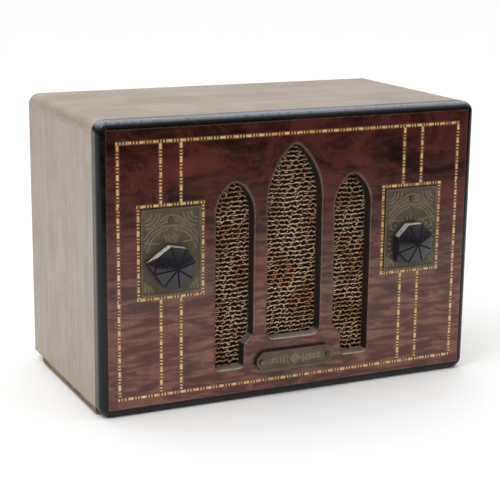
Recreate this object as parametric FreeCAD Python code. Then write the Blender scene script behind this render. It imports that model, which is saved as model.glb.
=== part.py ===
"""A small wooden table radio of the valve age: cabinet, controls, loudspeaker and chassis.

Every separate piece is written to parts/NODE.step. Units are millimetres.

While a piece is modelled, X runs to the right, Y runs from the front face (Y = 0) to the back, and Z
runs up from the surface that the radio stands on (Z = 0). Before export everything moves along Y, so
that the origin is the middle of the bottom of the whole radio, knobs included.
"""
import FreeCAD, Part
import math
import os

V = FreeCAD.Vector

# ---------------------------------------------------------------- driving dimensions
# Cabinet
cabinet_width = 254.0
cabinet_height = 178.0
cabinet_depth = 135.0
wall = 8.0                  # side panels and top panel
front_thickness = 8.0       # front panel with its veneer
veneer_thickness = 0.8
corner_round = 7.0          # long top edges, and the corners of the front moulding
rear_chamfer = 0.7
board_thickness = 3.2       # bottom board
board_rear_gap = 18.0       # the bottom board stops this far short of the back
foot_height = 1.5
foot_length = 28.0
foot_width = 12.0
foot_inset = 4.0

# Black moulding round the front
moulding_face = 5.0
moulding_depth = 10.0
moulding_round = 4.6

# Arched openings for the loudspeaker
centre_arch_half = 18.2
centre_arch_bottom = 37.0
centre_arch_spring = 122.5
centre_arch_tip = 157.5
centre_arch_tip_radius = 4.5
centre_arch_corner = 5.0
side_arch_offset = 40.3
side_arch_half = 12.4
side_arch_bottom = 21.0
side_arch_spring = 117.0
side_arch_tip = 136.5
side_arch_tip_radius = 6.0
side_arch_corner = 2.4
notch_width = 6.2           # the lower inner corner of each side arch steps back from the nameplate
notch_top = 41.5
notch_bottom = 35.0
notch_corner = 3.0
arch_edge_round = 2.0

# Inlaid banding
band_width = 2.0
border_side_margin = 7.0    # from the moulding to the middle of the band
border_bottom_margin = 6.0
border_top_margin = 8.0
stripe_spread = 6.45        # each stripe from the middle of its plate
plate_margin_x = 1.5        # from a plate's edge to the middle of the band round it
plate_margin_z = 1.8

# Controls
control_offset = 82.1       # from the middle of the front
control_height = 90.5
shaft_radius = 3.175
shaft_clearance = 0.06
plate_width = 38.0
plate_height = 52.4
plate_centre_height = 99.2
plate_thickness = 1.0
plate_corner = 1.0
pin_height = 118.4
pin_radius = 0.8
pin_head_radius = 1.5
pin_head = 0.6
pin_length = 6.0
panel_hole_radius = 5.0

# Knobs: an eight-sided body with a pointed nose and a shallow eight-sided roof
knob_corner_radius = 13.2
knob_gap = 0.4              # between the plate and the knob
knob_side_height = 5.2
knob_roof_height = 3.8
knob_nose_reach = 17.0
knob_recess_radius = 8.6
knob_recess_depth = 2.2
knob_bore_roof = 2.0        # material left between the bore and the roof's peak
shaft_end_gap = 0.4
set_screw_inset = 2.0
set_screw_radius = 1.1
volume_pointer_angle = 169.0
tuning_pointer_angle = 226.0

# Nameplate
nameplate_width = 53.0
nameplate_height = 12.3
nameplate_centre_height = 23.6
nameplate_chamfer = 4.2
nameplate_thickness = 0.8
nameplate_block_thickness = 2.6
nameplate_pin_spacing = 45.6

# Loudspeaker
speaker_height = 89.0
speaker_radius = 63.5
baffle_margin = 1.0         # past the loudspeaker on each side
baffle_bottom = 12.0
baffle_top = 166.0
baffle_thickness = 5.0
cloth_thickness = 0.6
cloth_margin = 4.0          # cloth past the arches
speaker_bolt_inset = 3.6    # from the basket's edge to the bolt circle
speaker_bolt_radius = 1.7
speaker_bolt_reach = 4.0    # past the basket's flange
speaker_nut_corner = 3.6
speaker_nut_thickness = 2.4
bolt_clearance = 0.15
cone_inset = 14.5           # from the basket's edge to the cone's
cone_clearance = 1.0
coil_radius = 12.5
paper = 0.5
basket_sheet = 1.2
basket_length = 27.6
basket_land = 4.0           # the cloth surround is glued to this ledge
basket_step = 0.8
basket_neck_gap = 2.1       # round the voice coil
basket_cone_gap = 2.4       # from the ledge to the sloping wall
basket_windows = 4
basket_window_width = 26.0
basket_window_front = 4.0   # solid metal in front of each window, and behind it
basket_window_rear = 3.0
surround_lap = 1.6          # cloth glued over the edge of the cone
surround_roll = 0.8
neck_gap = 4.0              # from the cone's neck to the back of the basket
neck_length = 2.6
former_wall = 0.4
former_front_reach = 1.4
coil_winding = 0.5
coil_reach = 1.0            # the winding goes this far past the pole plate
pot_radius = 29.0
pot_wall = 3.0
pot_length = 30.8
pole_radius = 11.5
pole_plate_thickness = 4.0
pole_reach = 0.6            # the pole stands this far in front of its plate
field_coil_gap = 0.4
magnet_gap = 0.9            # round the voice coil's winding

# Output transformer, on top of the loudspeaker's pot
core_width = 36.0
core_height = 29.0
core_stack = 14.0
core_leg = 11.0
core_yoke = 5.0
core_gap = 3.0              # between the pot and the core
core_set_back = 2.0         # behind the pole plate
window_inset = 1.0
coil_overhang = 7.0
coil_corner = 4.0
strap = 1.0

# Chassis
chassis_side_gap = 7.0
chassis_front = 46.0
chassis_rear = 118.0
chassis_top = 51.0
sheet = 1.2
chassis_flange = 12.0
grommet_x = -60.0
grommet_height = 24.0
grommet_bore = 3.6
grommet_hole = 6.0
grommet_flange = 8.5
grommet_lip = 2.6
grommet_edge = 1.0

# Valves: their places on the deck, and which of them have a cap on top
valve_row = 97.0
valves = {"rf": -89.0, "detector": -44.5, "output": -2.0, "rectifier": 37.5}
capped_valves = ("rf", "detector", "output")
socket_radius = 16.5
socket_thickness = 3.0
socket_rivet_spacing = 36.0
socket_rivet_radius = 1.3
socket_ear_radius = 2.6
base_radius = 15.0
base_height = 30.0
base_wall = 1.6
valve_pins = 5
valve_pin_circle = 9.5
valve_pin_radius = 1.2
valve_pin_clearance = 0.3
valve_pin_length = 11.0
pin_hole_margin = 4.0       # of the chassis's hole past the pins' circle
rivet_tail = 1.0
rivet_head = 0.8
base_floor = 4.0
base_gap = 0.2              # between the base and its socket
base_round = 1.2
neck_radius = 12.5
neck_reach = 8.0            # of the glass down into its base
bulb_radius = 18.0
dome_radius = 12.6
glass = 0.8
bulb_height = 95.0          # from the socket to the top of the glass
cap_radius = 4.5
cap_height = 7.0
cap_lap = 2.0               # of the cap over the glass
cap_round = 1.2

# Inside each valve
stem_drop = 4.0             # below the top of the base
stem_low_radius = 8.0
stem_high_radius = 4.0
stem_height = 14.0
anode_radius = 7.5
anode_wall = 0.5
anode_first = 20.0          # above the foot of the stem
anode_last = 46.0
cathode_radius = 1.2
cathode_reach = 2.0         # past the anode
spacer_radius = 10.5
spacer_thickness = 0.5
spacer_gap = 1.0
post_radius = 0.6
post_offset = 9.0
post_low = 8.0
post_reach = 3.0

# Tuning condenser
gang_half_width = 24.0
gang_front = 47.0
gang_plate = 2.0
gang_section = 24.0         # room for one section between two frame plates
gang_frame_top = 101.0
rotor_radius = 21.0
rotor_hub_radius = 5.0
rotor_count = 6
stator_radius = 25.0
stator_inner_radius = 6.5
vane = 0.6
vane_pitch = 3.2
stator_drop = 2.0           # below the middle of the shaft
tie_rod_radius = 1.0
tie_rod_circle = 22.7
tie_rod_angles = (215, 325)
rotor_hub_gap = 0.8
rotor_overlap = 2.0         # vane above the middle of the shaft
shaft_rear_reach = 2.0

# Volume control
pot_body_radius = 16.5
pot_body_length = 12.0
switch_radius = 14.0
switch_length = 9.0
pot_skin = 1.2
bushing_radius = 4.7
nut_across_flats = 12.7
nut_thickness = 2.0
bushing_proud = 0.4         # of its nut
wiper_gap = 1.0
wiper_thickness = 1.5
lug_width = 3.0
lug_thickness = 0.8
lug_front = 4.0             # from the front of the body
lug_length = 6.0
lug_root = 1.5              # inside the body's edge
lug_pitch = 7.0

# Cans
coil_can_x = -90.0
coil_can_y = 60.6
coil_can_radius = 14.0
coil_can_height = 60.0
condenser_can_x = -52.0
condenser_can_y = 62.0
condenser_can_radius = 12.5
condenser_can_height = 72.0
can_round = 2.0

# Screws in the bottom board and in the baffle
board_screw_first = 14.0    # behind the moulding
board_screw_last = 8.0      # in front of the feet
chassis_screw_inset = 14.0
baffle_screw_inset = 4.5
screw_radius = 1.6
screw_head_radius = 3.2
screw_head = 1.8
screw_length = 13.0
chassis_screw_length = 7.0
baffle_screw_length = 9.4
slot_width = 0.7
slot_depth = 0.7

# Glue blocks
block = 12.0
block_gap = 3.0

# Insulated leads
lead_share = 0.47           # of each run, given to the arc at either end
lead_radius = 1.2
lead_rise = 9.0             # over the valves' caps
speaker_lead_radius = 1.9

# Cutting shapes
past = 1.0                  # how far a cutting shape runs past a surface
near = 1e-6                 # for finding edges by their place

# ---------------------------------------------------------------- derived places
half_width = cabinet_width / 2
side_bottom = foot_height + board_thickness
front_half = half_width - moulding_face
front_bottom = moulding_face
front_top = cabinet_height - moulding_face
plate_front = -plate_thickness
knob_base = plate_front - knob_gap
knob_rim = knob_base - knob_side_height
knob_peak = knob_rim - knob_roof_height
board_rear = cabinet_depth - board_rear_gap
cloth_front = front_thickness
baffle_front = cloth_front + cloth_thickness
baffle_rear = baffle_front + baffle_thickness
deck = chassis_top
valve_seat = deck + socket_thickness
border_half_width = front_half - border_side_margin
border_bottom = front_bottom + border_bottom_margin
border_top = front_top - border_top_margin
plate_border_width = plate_width + 2 * plate_margin_x
plate_border_height = plate_height + 2 * plate_margin_z
cloth_half_width = side_arch_offset + side_arch_half + cloth_margin
screw_room = baffle_screw_inset + screw_head_radius
baffle_half_width = max(speaker_radius + baffle_margin, cloth_half_width + screw_room)
cone_outer_radius = speaker_radius - cone_inset
basket_ledge = cone_outer_radius + cone_clearance
basket_inner = baffle_rear + basket_step
basket_back = baffle_rear + basket_length
cone_neck = basket_back - basket_sheet - neck_gap
transformer_low = speaker_height + pot_radius + core_gap
baffle_hole_radius = basket_ledge + 2
speaker_bolt_circle = speaker_radius - speaker_bolt_inset
chassis_half_width = half_width - wall - chassis_side_gap
origin_shift = V(0, -(cabinet_depth + knob_peak) / 2, 0)

parts = {}


# ---------------------------------------------------------------- shape helpers
def box(x0, x1, y0, y1, z0, z1):
    return Part.makeBox(x1 - x0, y1 - y0, z1 - z0, V(x0, y0, z0))


def rod_y(radius, y0, y1, x, z):
    return Part.makeCylinder(radius, y1 - y0, V(x, y0, z), V(0, 1, 0))


def rod_z(radius, z0, z1, x, y):
    return Part.makeCylinder(radius, z1 - z0, V(x, y, z0), V(0, 0, 1))


def ring_y(outer, inner, y0, y1, x, z):
    return rod_y(outer, y0, y1, x, z).cut(rod_y(inner, y0 - past, y1 + past, x, z))


def fused(shapes):
    first, rest = shapes[0], shapes[1:]
    return first.fuse(rest).removeSplitter() if rest else first


def group(shapes):
    """Several separate solids as one node."""
    return Part.makeCompound([solid for shape in shapes for solid in shape.Solids])


def wire_of(edges):
    return Part.Wire(Part.__sortEdges__(edges))


def turned_y(profile, x, z):
    """A solid of revolution about an axis along Y. The profile is (radius, y) points."""
    points = [V(x + radius, y, z) for radius, y in profile]
    face = Part.Face(Part.makePolygon(points + points[:1]))
    return face.revolve(V(x, 0, z), V(0, 1, 0), 360)


def turned_z(profile, x, y):
    """A solid of revolution about an axis along Z. The profile is (radius, z) points."""
    points = [V(x + radius, y, z) for radius, z in profile]
    face = Part.Face(Part.makePolygon(points + points[:1]))
    return face.revolve(V(x, y, 0), V(0, 0, 1), 360)


def corner_arc(before, corner, after, radius):
    """The two tangent points and the middle of the arc that rounds a corner."""
    to_before = (before - corner).normalize()
    to_after = (after - corner).normalize()
    half_angle = to_before.getAngle(to_after) / 2
    setback = radius / math.tan(half_angle)
    bisector = (to_before + to_after).normalize()
    centre = corner + bisector * (radius / math.sin(half_angle))
    return corner + to_before * setback, centre - bisector * radius, corner + to_after * setback


def rounded_edges(points, radii):
    """Straight edges along open points, with every inner corner rounded."""
    edges = []
    start = points[0]
    for before, corner, after, radius in zip(points, points[1:], points[2:], radii):
        first, middle, last = corner_arc(before, corner, after, radius)
        edges.append(Part.LineSegment(start, first).toShape())
        edges.append(Part.Arc(first, middle, last).toShape())
        start = last
    edges.append(Part.LineSegment(start, points[-1]).toShape())
    return edges


def lead(points, radius):
    """A round lead along a route: straight runs joined by tangent arcs as large as the runs allow."""
    runs = [(after - before).Length * lead_share for before, after in zip(points, points[1:])]
    runs[0] *= 2
    runs[-1] *= 2
    radii = []
    for k in range(1, len(points) - 1):
        turn = math.pi - (points[k - 1] - points[k]).getAngle(points[k + 1] - points[k])
        radii.append(min(runs[k - 1], runs[k]) / math.tan(turn / 2))
    path = Part.Wire(rounded_edges(points, radii))
    start, along = points[0], (points[1] - points[0]).normalize()
    section = Part.Wire(Part.makeCircle(radius, start, along))
    tube = path.makePipeShell([section], True, False)
    print("lead radii", [round(r, 1) for r in radii], "volume", round(tube.Volume, 1),
          "section times length", round(math.pi * radius ** 2 * path.Length, 1))
    return tube


def flat_head_screw(seat, along, length):
    """A countersunk screw whose flat head is flush with its seat point."""
    head = Part.makeCone(screw_head_radius, screw_radius, screw_head, seat, along)
    shank = Part.makeCylinder(screw_radius, length, seat, along)
    across = V(1, 0, 0)
    side = along.cross(across)
    corner = seat - across * (screw_head_radius + past) - side * (slot_width / 2)
    slot_along = across * (2 * (screw_head_radius + past))
    slot_across = side * slot_width
    slot = Part.makePolygon([corner, corner + slot_along, corner + slot_along + slot_across,
                             corner + slot_across, corner])
    slot = Part.Face(slot).extrude(along * slot_depth)
    return head.fuse(shank).removeSplitter().cut(slot)


def screw_seat(seat, along, length):
    """What a flat-head screw takes out of the piece it holds."""
    head = Part.makeCone(screw_head_radius, screw_radius, screw_head, seat, along)
    return head.fuse(Part.makeCylinder(screw_radius, length, seat, along))


# ---------------------------------------------------------------- arches
def arch_cutter(x, half, bottom, spring, tip, tip_radius, corner, notch_side):
    """A pointed arch through the front panel. notch_side is -1, 0 or 1: the side that steps in."""
    rise = tip - tip_radius - spring
    side_radius = (half ** 2 + rise ** 2 - tip_radius ** 2) / (2 * (half - tip_radius))
    lean = math.atan2(rise, side_radius - half)

    def on_side(sign, angle):
        return V(x + sign * (half - side_radius + side_radius * math.cos(angle)), 0,
                 spring + side_radius * math.sin(angle))

    left_spring, right_spring = on_side(-1, 0), on_side(1, 0)
    left = [V(x - half, 0, bottom)]
    right = [V(x + half, 0, bottom)]
    left_radii, right_radii = [corner], [corner]
    if notch_side:
        stepped = [V(x + notch_side * half, 0, notch_top),
                   V(x + notch_side * (half - notch_width), 0, notch_bottom),
                   V(x + notch_side * (half - notch_width), 0, bottom)]
        step_radii = [notch_corner, notch_corner, corner]
        if notch_side < 0:
            left, left_radii = stepped, step_radii
        else:
            right, right_radii = stepped[::-1], step_radii[::-1]
    points = [left_spring] + left + right + [right_spring]
    edges = rounded_edges(points, left_radii + right_radii)
    edges.append(Part.Arc(right_spring, on_side(1, lean / 2), on_side(1, lean)).toShape())
    edges.append(Part.Arc(on_side(1, lean), V(x, 0, tip), on_side(-1, lean)).toShape())
    edges.append(Part.Arc(on_side(-1, lean), on_side(-1, lean / 2), left_spring).toShape())
    return Part.Face(Part.Wire(edges)).extrude(V(0, front_thickness, 0))


def arch_cutters():
    side = (side_arch_half, side_arch_bottom, side_arch_spring, side_arch_tip,
            side_arch_tip_radius, side_arch_corner)
    return [arch_cutter(-side_arch_offset, *side, 1),
            arch_cutter(0, centre_arch_half, centre_arch_bottom, centre_arch_spring,
                        centre_arch_tip, centre_arch_tip_radius, centre_arch_corner, 0),
            arch_cutter(side_arch_offset, *side, -1)]


# ---------------------------------------------------------------- cabinet
def band_box(x0, x1, z0, z1):
    return box(x0, x1, 0, veneer_thickness, z0, z1)


def band_frame(x0, x1, z0, z1):
    """Four strips of banding, butt-jointed round a rectangle measured to the bands' middles."""
    half = band_width / 2
    return [band_box(x0 - half, x1 + half, z1 - half, z1 + half),
            band_box(x0 - half, x1 + half, z0 - half, z0 + half),
            band_box(x0 - half, x0 + half, z0 + half, z1 - half),
            band_box(x1 - half, x1 + half, z0 + half, z1 - half)]


def inlay():
    border = band_frame(-border_half_width, border_half_width, border_bottom, border_top)
    half = band_width / 2
    plate_low = plate_centre_height - plate_border_height / 2
    plate_high = plate_centre_height + plate_border_height / 2
    inner = []
    for side in (-1, 1):
        x = side * control_offset
        inner += band_frame(x - plate_border_width / 2, x + plate_border_width / 2,
                            plate_low, plate_high)
        for stripe in (x - stripe_spread, x + stripe_spread):
            inner.append(band_box(stripe - half, stripe + half, plate_high + half,
                                  border_top - half))
            inner.append(band_box(stripe - half, stripe + half, border_bottom + half,
                                  plate_low - half))
    return border, inner


def baffle_screw_places():
    inset = baffle_screw_inset
    return [(side * (baffle_half_width - inset), z) for side in (-1, 1)
            for z in (baffle_bottom + inset, baffle_top - inset)]


def front():
    panel = box(-front_half, front_half, 0, front_thickness, front_bottom, front_top)
    for cutter in arch_cutters():
        panel = panel.cut(cutter)
    rims = [edge for edge in panel.Edges
            if all(abs(v.Y) < near and abs(v.X) < front_half - past
                   and front_bottom + past < v.Z < front_top - past for v in edge.Vertexes)]
    panel = panel.makeFillet(arch_edge_round, rims)
    for side in (-1, 1):
        x = side * control_offset
        panel = panel.cut(rod_y(panel_hole_radius, -past, front_thickness + past, x, control_height))
        panel = panel.cut(rod_y(pin_radius, -past, pin_length + plate_front, x, pin_height))
    for x in (-nameplate_pin_spacing / 2, nameplate_pin_spacing / 2):
        panel = panel.cut(rod_y(pin_radius, -past, nameplate_pin_end(), x, nameplate_centre_height))
    veneer_room = box(-half_width, half_width, -past, veneer_thickness, 0, cabinet_height)
    veneer = panel.common(veneer_room)
    core = panel.cut(veneer_room)
    for x, z in baffle_screw_places():
        core = core.cut(rod_y(screw_radius, baffle_rear - baffle_screw_length, baffle_rear, x, z))
    border, inner = inlay()
    veneer = veneer.cut(border + inner)
    parts["front_panel"] = core
    parts["front_veneer"] = group([veneer])
    parts["inlay_border"] = group(border)
    parts["inlay_inner_lines"] = group(inner)


def moulding_ring():
    """The square-edged room that the moulding takes out of the panels behind it."""
    outer = box(-half_width, half_width, 0, moulding_depth, 0, cabinet_height)
    return outer.cut(box(-front_half, front_half, -past, moulding_depth + past, front_bottom, front_top))


def rounded_front(y0, y1):
    """The cabinet's outline with rounded corners."""
    solid = box(-half_width, half_width, y0, y1, 0, cabinet_height)
    corners = [edge for edge in solid.Edges
               if abs(edge.Vertexes[0].X - edge.Vertexes[1].X) < near
               and abs(edge.Vertexes[0].Z - edge.Vertexes[1].Z) < near]
    return solid.makeFillet(corner_round, corners)


def mouldings():
    solid = rounded_front(0, moulding_depth)
    front_edges = [edge for edge in solid.Edges
                   if all(abs(v.Y) < near for v in edge.Vertexes)]
    solid = solid.makeFillet(moulding_round, front_edges)
    frame = solid.cut(box(-front_half, front_half, -past, moulding_depth + past, front_bottom, front_top))
    reach = 2 * cabinet_height
    slope = {"moulding_top": (0, 1), "moulding_bottom": (0, -1),
             "moulding_left": (-1, 0), "moulding_right": (1, 0)}
    for name, (sx, sz) in slope.items():
        if sz:
            corner_z = front_top if sz > 0 else front_bottom
            points = [V(-front_half, 0, corner_z), V(front_half, 0, corner_z),
                      V(front_half + reach, 0, corner_z + sz * reach),
                      V(-front_half - reach, 0, corner_z + sz * reach)]
        else:
            corner_x = sx * front_half
            points = [V(corner_x, 0, front_bottom), V(corner_x, 0, front_top),
                      V(corner_x + sx * reach, 0, front_top + reach),
                      V(corner_x + sx * reach, 0, front_bottom - reach)]
        wedge = Part.Face(Part.makePolygon(points + points[:1])).extrude(V(0, moulding_depth, 0))
        parts[name] = frame.common(wedge)


def bottom_screw_places():
    """(x, y, length) of every flat-head screw in the bottom board."""
    last = board_rear - foot_inset - foot_length - board_screw_last
    first = moulding_depth + board_screw_first
    sides = [(side * (half_width - wall / 2), y, screw_length) for side in (-1, 1)
             for y in (first, (first + last) / 2, last)]
    to_chassis = [(side * (chassis_half_width - chassis_flange / 2), y, chassis_screw_length)
                  for side in (-1, 1)
                  for y in (chassis_front + chassis_screw_inset, chassis_rear - chassis_screw_inset)]
    return sides + to_chassis


def cabinet():
    ring = moulding_ring()
    outline = rounded_front(front_thickness, cabinet_depth)
    top_bottom = cabinet_height - wall
    for name, side in (("side_panel_left", -1), ("side_panel_right", 1)):
        inner = half_width - wall
        x0, x1 = sorted((side * inner, side * half_width))
        panel = box(x0, x1, front_thickness, cabinet_depth, side_bottom, top_bottom).cut(ring)
        rear = [edge for edge in panel.Edges
                if all(abs(v.Y - cabinet_depth) < near for v in edge.Vertexes)
                and all(abs(abs(v.X) - half_width) < near for v in edge.Vertexes)]
        panel = panel.makeChamfer(rear_chamfer, rear)
        for x, y, length in bottom_screw_places():
            if abs(x) > inner:
                panel = panel.cut(rod_z(screw_radius, foot_height, foot_height + length, x, y))
        parts[name] = panel
    top = box(-half_width, half_width, front_thickness, cabinet_depth, top_bottom, cabinet_height)
    top = top.cut(ring).common(outline)
    rear = [edge for edge in top.Edges
            if all(abs(v.Y - cabinet_depth) < near for v in edge.Vertexes)
            and all(v.Z > cabinet_height - near for v in edge.Vertexes)]
    parts["top_panel"] = top.makeChamfer(rear_chamfer, rear)
    board = box(-half_width, half_width, moulding_depth, board_rear, foot_height, side_bottom)
    screws = []
    for x, y, length in bottom_screw_places():
        seat = V(x, y, foot_height)
        board = board.cut(screw_seat(seat, V(0, 0, 1), length))
        screws.append(flat_head_screw(seat, V(0, 0, 1), length))
    parts["bottom_board"] = board
    parts["bottom_screws"] = group(screws)


def feet():
    pads = []
    for side in (-1, 1):
        x0, x1 = sorted((side * (half_width - foot_inset), side * (half_width - foot_inset - foot_width)))
        pad = box(x0, x1, board_rear - foot_inset - foot_length, board_rear - foot_inset, 0, foot_height)
        pads.append(pad)
    return group(pads)


def glue_blocks():
    inner = half_width - wall
    low, high = front_bottom, cabinet_height - wall
    y0, y1 = front_thickness, front_thickness + block
    blocks = []
    for side in (-1, 1):
        x0, x1 = sorted((side * inner, side * (inner - block)))
        blocks.append(box(x0, x1, y0, y1, low + block_gap, high - block_gap))
        short = sorted((side * (inner - block - block_gap), side * (baffle_half_width + block_gap)))
        blocks.append(box(*short, y0, y1, high - block, high))
        blocks.append(box(*short, y0, y1, low, low + block))
    return group(blocks)


# ---------------------------------------------------------------- plates on the front
def escutcheon(x, hole_radius):
    plate = box(x - plate_width / 2, x + plate_width / 2, plate_front, 0,
                plate_centre_height - plate_height / 2, plate_centre_height + plate_height / 2)
    corners = [edge for edge in plate.Edges
               if abs(edge.Vertexes[0].Y - edge.Vertexes[1].Y) > plate_thickness / 2]
    plate = plate.makeFillet(plate_corner, corners)
    plate = plate.cut(rod_y(hole_radius, plate_front - past, past, x, control_height))
    return plate.cut(rod_y(pin_radius, plate_front - past, past, x, pin_height))


def nameplate_outline():
    half_w = nameplate_width / 2
    half_h = nameplate_height / 2
    cut = nameplate_chamfer
    z = nameplate_centre_height
    corners = [(half_w, half_h - cut), (half_w - cut, half_h), (cut - half_w, half_h),
               (-half_w, half_h - cut), (-half_w, cut - half_h), (cut - half_w, -half_h),
               (half_w - cut, -half_h), (half_w, cut - half_h)]
    points = [V(dx, 0, z + dz) for dx, dz in corners]
    return Part.Face(Part.makePolygon(points + points[:1]))


def nameplate_pin_end():
    return pin_length - nameplate_block_thickness - nameplate_thickness


def pin(front_y, x, z):
    """A round-headed pin driven in from the front."""
    head = Part.makeSphere(pin_head_radius, V(x, front_y, z)).common(
        box(x - pin_head_radius, x + pin_head_radius, front_y - pin_head, front_y,
            z - pin_head_radius, z + pin_head_radius))
    return head.fuse(rod_y(pin_radius, front_y, front_y + pin_length, x, z)).removeSplitter()


def front_plates():
    bushing_hole = bushing_radius + shaft_clearance
    parts["volume_escutcheon"] = escutcheon(-control_offset, bushing_hole)
    parts["tuning_escutcheon"] = escutcheon(control_offset, panel_hole_radius)
    block_front = -nameplate_block_thickness
    backing = nameplate_outline().extrude(V(0, block_front, 0))
    plate = nameplate_outline()
    plate.translate(V(0, block_front, 0))
    plate = plate.extrude(V(0, -nameplate_thickness, 0))
    pins = [pin(plate_front, side * control_offset, pin_height) for side in (-1, 1)]
    for x in (-nameplate_pin_spacing / 2, nameplate_pin_spacing / 2):
        hole_front = block_front - nameplate_thickness - past
        hole = rod_y(pin_radius, hole_front, past, x, nameplate_centre_height)
        backing, plate = backing.cut(hole), plate.cut(hole)
        pins.append(pin(block_front - nameplate_thickness, x, nameplate_centre_height))
    parts["nameplate_block"] = backing
    parts["nameplate"] = plate
    parts["plate_pins"] = group(pins)


# ---------------------------------------------------------------- knobs and shafts
def knob(x, pointer_angle):
    """An eight-sided knob whose nose points pointer_angle degrees anticlockwise from +X."""
    def at(angle, radius, y):
        turn = math.radians(angle)
        return V(x + radius * math.cos(turn), y, control_height + radius * math.sin(turn))

    half_side = 360 / 8 / 2
    corners = [pointer_angle + half_side + 2 * half_side * k for k in range(8)]
    base = [at(a, knob_corner_radius, knob_base) for a in corners]
    rim = [at(a, knob_corner_radius, knob_rim) for a in corners]
    tip = at(pointer_angle, knob_nose_reach, knob_base)
    peak = V(x, knob_peak, control_height)
    faces = [base + [tip], [base[-1], rim[-1], tip], [rim[-1], rim[0], tip], [rim[0], base[0], tip]]
    for k in range(7):
        faces.append([base[k], base[k + 1], rim[k + 1], rim[k]])
    for first, second in zip(rim, rim[1:] + rim[:1]):
        faces.append([first, second, peak])
    shell = Part.Shell([Part.Face(Part.makePolygon(face + face[:1])) for face in faces])
    shell.sewShape()
    whole = Part.Solid(shell)
    if whole.Volume < 0:
        whole.reverse()
    bore_end = knob_peak + knob_bore_roof
    whole = whole.cut(rod_y(shaft_radius + shaft_clearance, bore_end, past, x, control_height))
    whole = whole.cut(rod_y(knob_recess_radius, knob_base - knob_recess_depth, past, x, control_height))
    screw_y = (knob_base - knob_recess_depth + knob_rim) / 2
    outward = at(pointer_angle + 180, 1, 0) - at(0, 0, 0)
    start = V(x, screw_y, control_height) + outward * (shaft_radius + shaft_clearance)
    flat_radius = knob_corner_radius * math.cos(math.radians(half_side))
    length = flat_radius - shaft_radius - shaft_clearance
    channel = Part.makeCylinder(set_screw_radius, length + past, start, outward)
    set_screw = Part.makeCylinder(set_screw_radius, length - set_screw_inset, start, outward)
    return group([whole.cut(channel), set_screw])


def hexagon(corner_radius, x, y, z):
    """A six-sided face across the Y axis."""
    corners = [math.radians(60 * k) for k in range(7)]
    points = [V(x + corner_radius * math.cos(a), y, z + corner_radius * math.sin(a)) for a in corners]
    return Part.Face(Part.makePolygon(points))


def volume_control(x, z):
    """A round control body with its switch, three lugs, bushing and nut."""
    front_end = plate_front - nut_thickness - bushing_proud
    body_front, body_rear = front_thickness, front_thickness + pot_body_length
    end = body_rear + switch_length
    bore = shaft_radius + shaft_clearance
    body = turned_y([(bushing_radius, front_end), (bushing_radius, body_front),
                     (pot_body_radius, body_front), (pot_body_radius, body_rear),
                     (switch_radius, body_rear), (switch_radius, end), (0, end), (0, body_rear - pot_skin),
                     (pot_body_radius - pot_skin, body_rear - pot_skin),
                     (pot_body_radius - pot_skin, body_front + pot_skin),
                     (bore, body_front + pot_skin), (bore, front_end)], x, z)
    room = rod_y(pot_body_radius, body_front, body_rear, x, z)
    lug_y = body_front + lug_front
    lugs = []
    for dx in (-lug_pitch, 0, lug_pitch):
        lug = box(x + dx - lug_width / 2, x + dx + lug_width / 2, lug_y, lug_y + lug_thickness,
                  z - pot_body_radius - lug_length, z - pot_body_radius + lug_root)
        lugs.append(lug.cut(room))
    nut = hexagon(nut_across_flats / math.sqrt(3), x, plate_front, z).extrude(V(0, -nut_thickness, 0))
    nut = nut.cut(rod_y(bushing_radius, plate_front - nut_thickness - past, past, x, z))
    return group([body] + lugs + [nut])


def controls():
    x, z = -control_offset, control_height
    parts["volume_knob"] = knob(-control_offset, volume_pointer_angle)
    parts["tuning_knob"] = knob(control_offset, tuning_pointer_angle)
    parts["volume_control"] = volume_control(x, z)
    shaft_front = knob_peak + knob_bore_roof + shaft_end_gap
    wiper_y = front_thickness + pot_body_length / 2
    shaft = rod_y(shaft_radius, shaft_front, wiper_y, x, z)
    wiper = rod_y(pot_body_radius - 2 * pot_skin - wiper_gap, wiper_y, wiper_y + wiper_thickness, x, z)
    parts["volume_shaft"] = fused([shaft, wiper])
    gang_rear = gang_front + 3 * gang_plate + 2 * gang_section
    parts["tuning_shaft"] = rod_y(shaft_radius, shaft_front, gang_rear + shaft_rear_reach, control_offset,
                                  control_height)


# ---------------------------------------------------------------- tuning condenser
def half_disc(radius, y0, y1, top_z):
    """The part of a disc round the tuning shaft that lies below top_z."""
    disc = rod_y(radius, y0, y1, control_offset, control_height)
    return disc.common(box(control_offset - radius - past, control_offset + radius + past, y0 - past,
                           y1 + past, control_height - radius - past, top_z))


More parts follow.
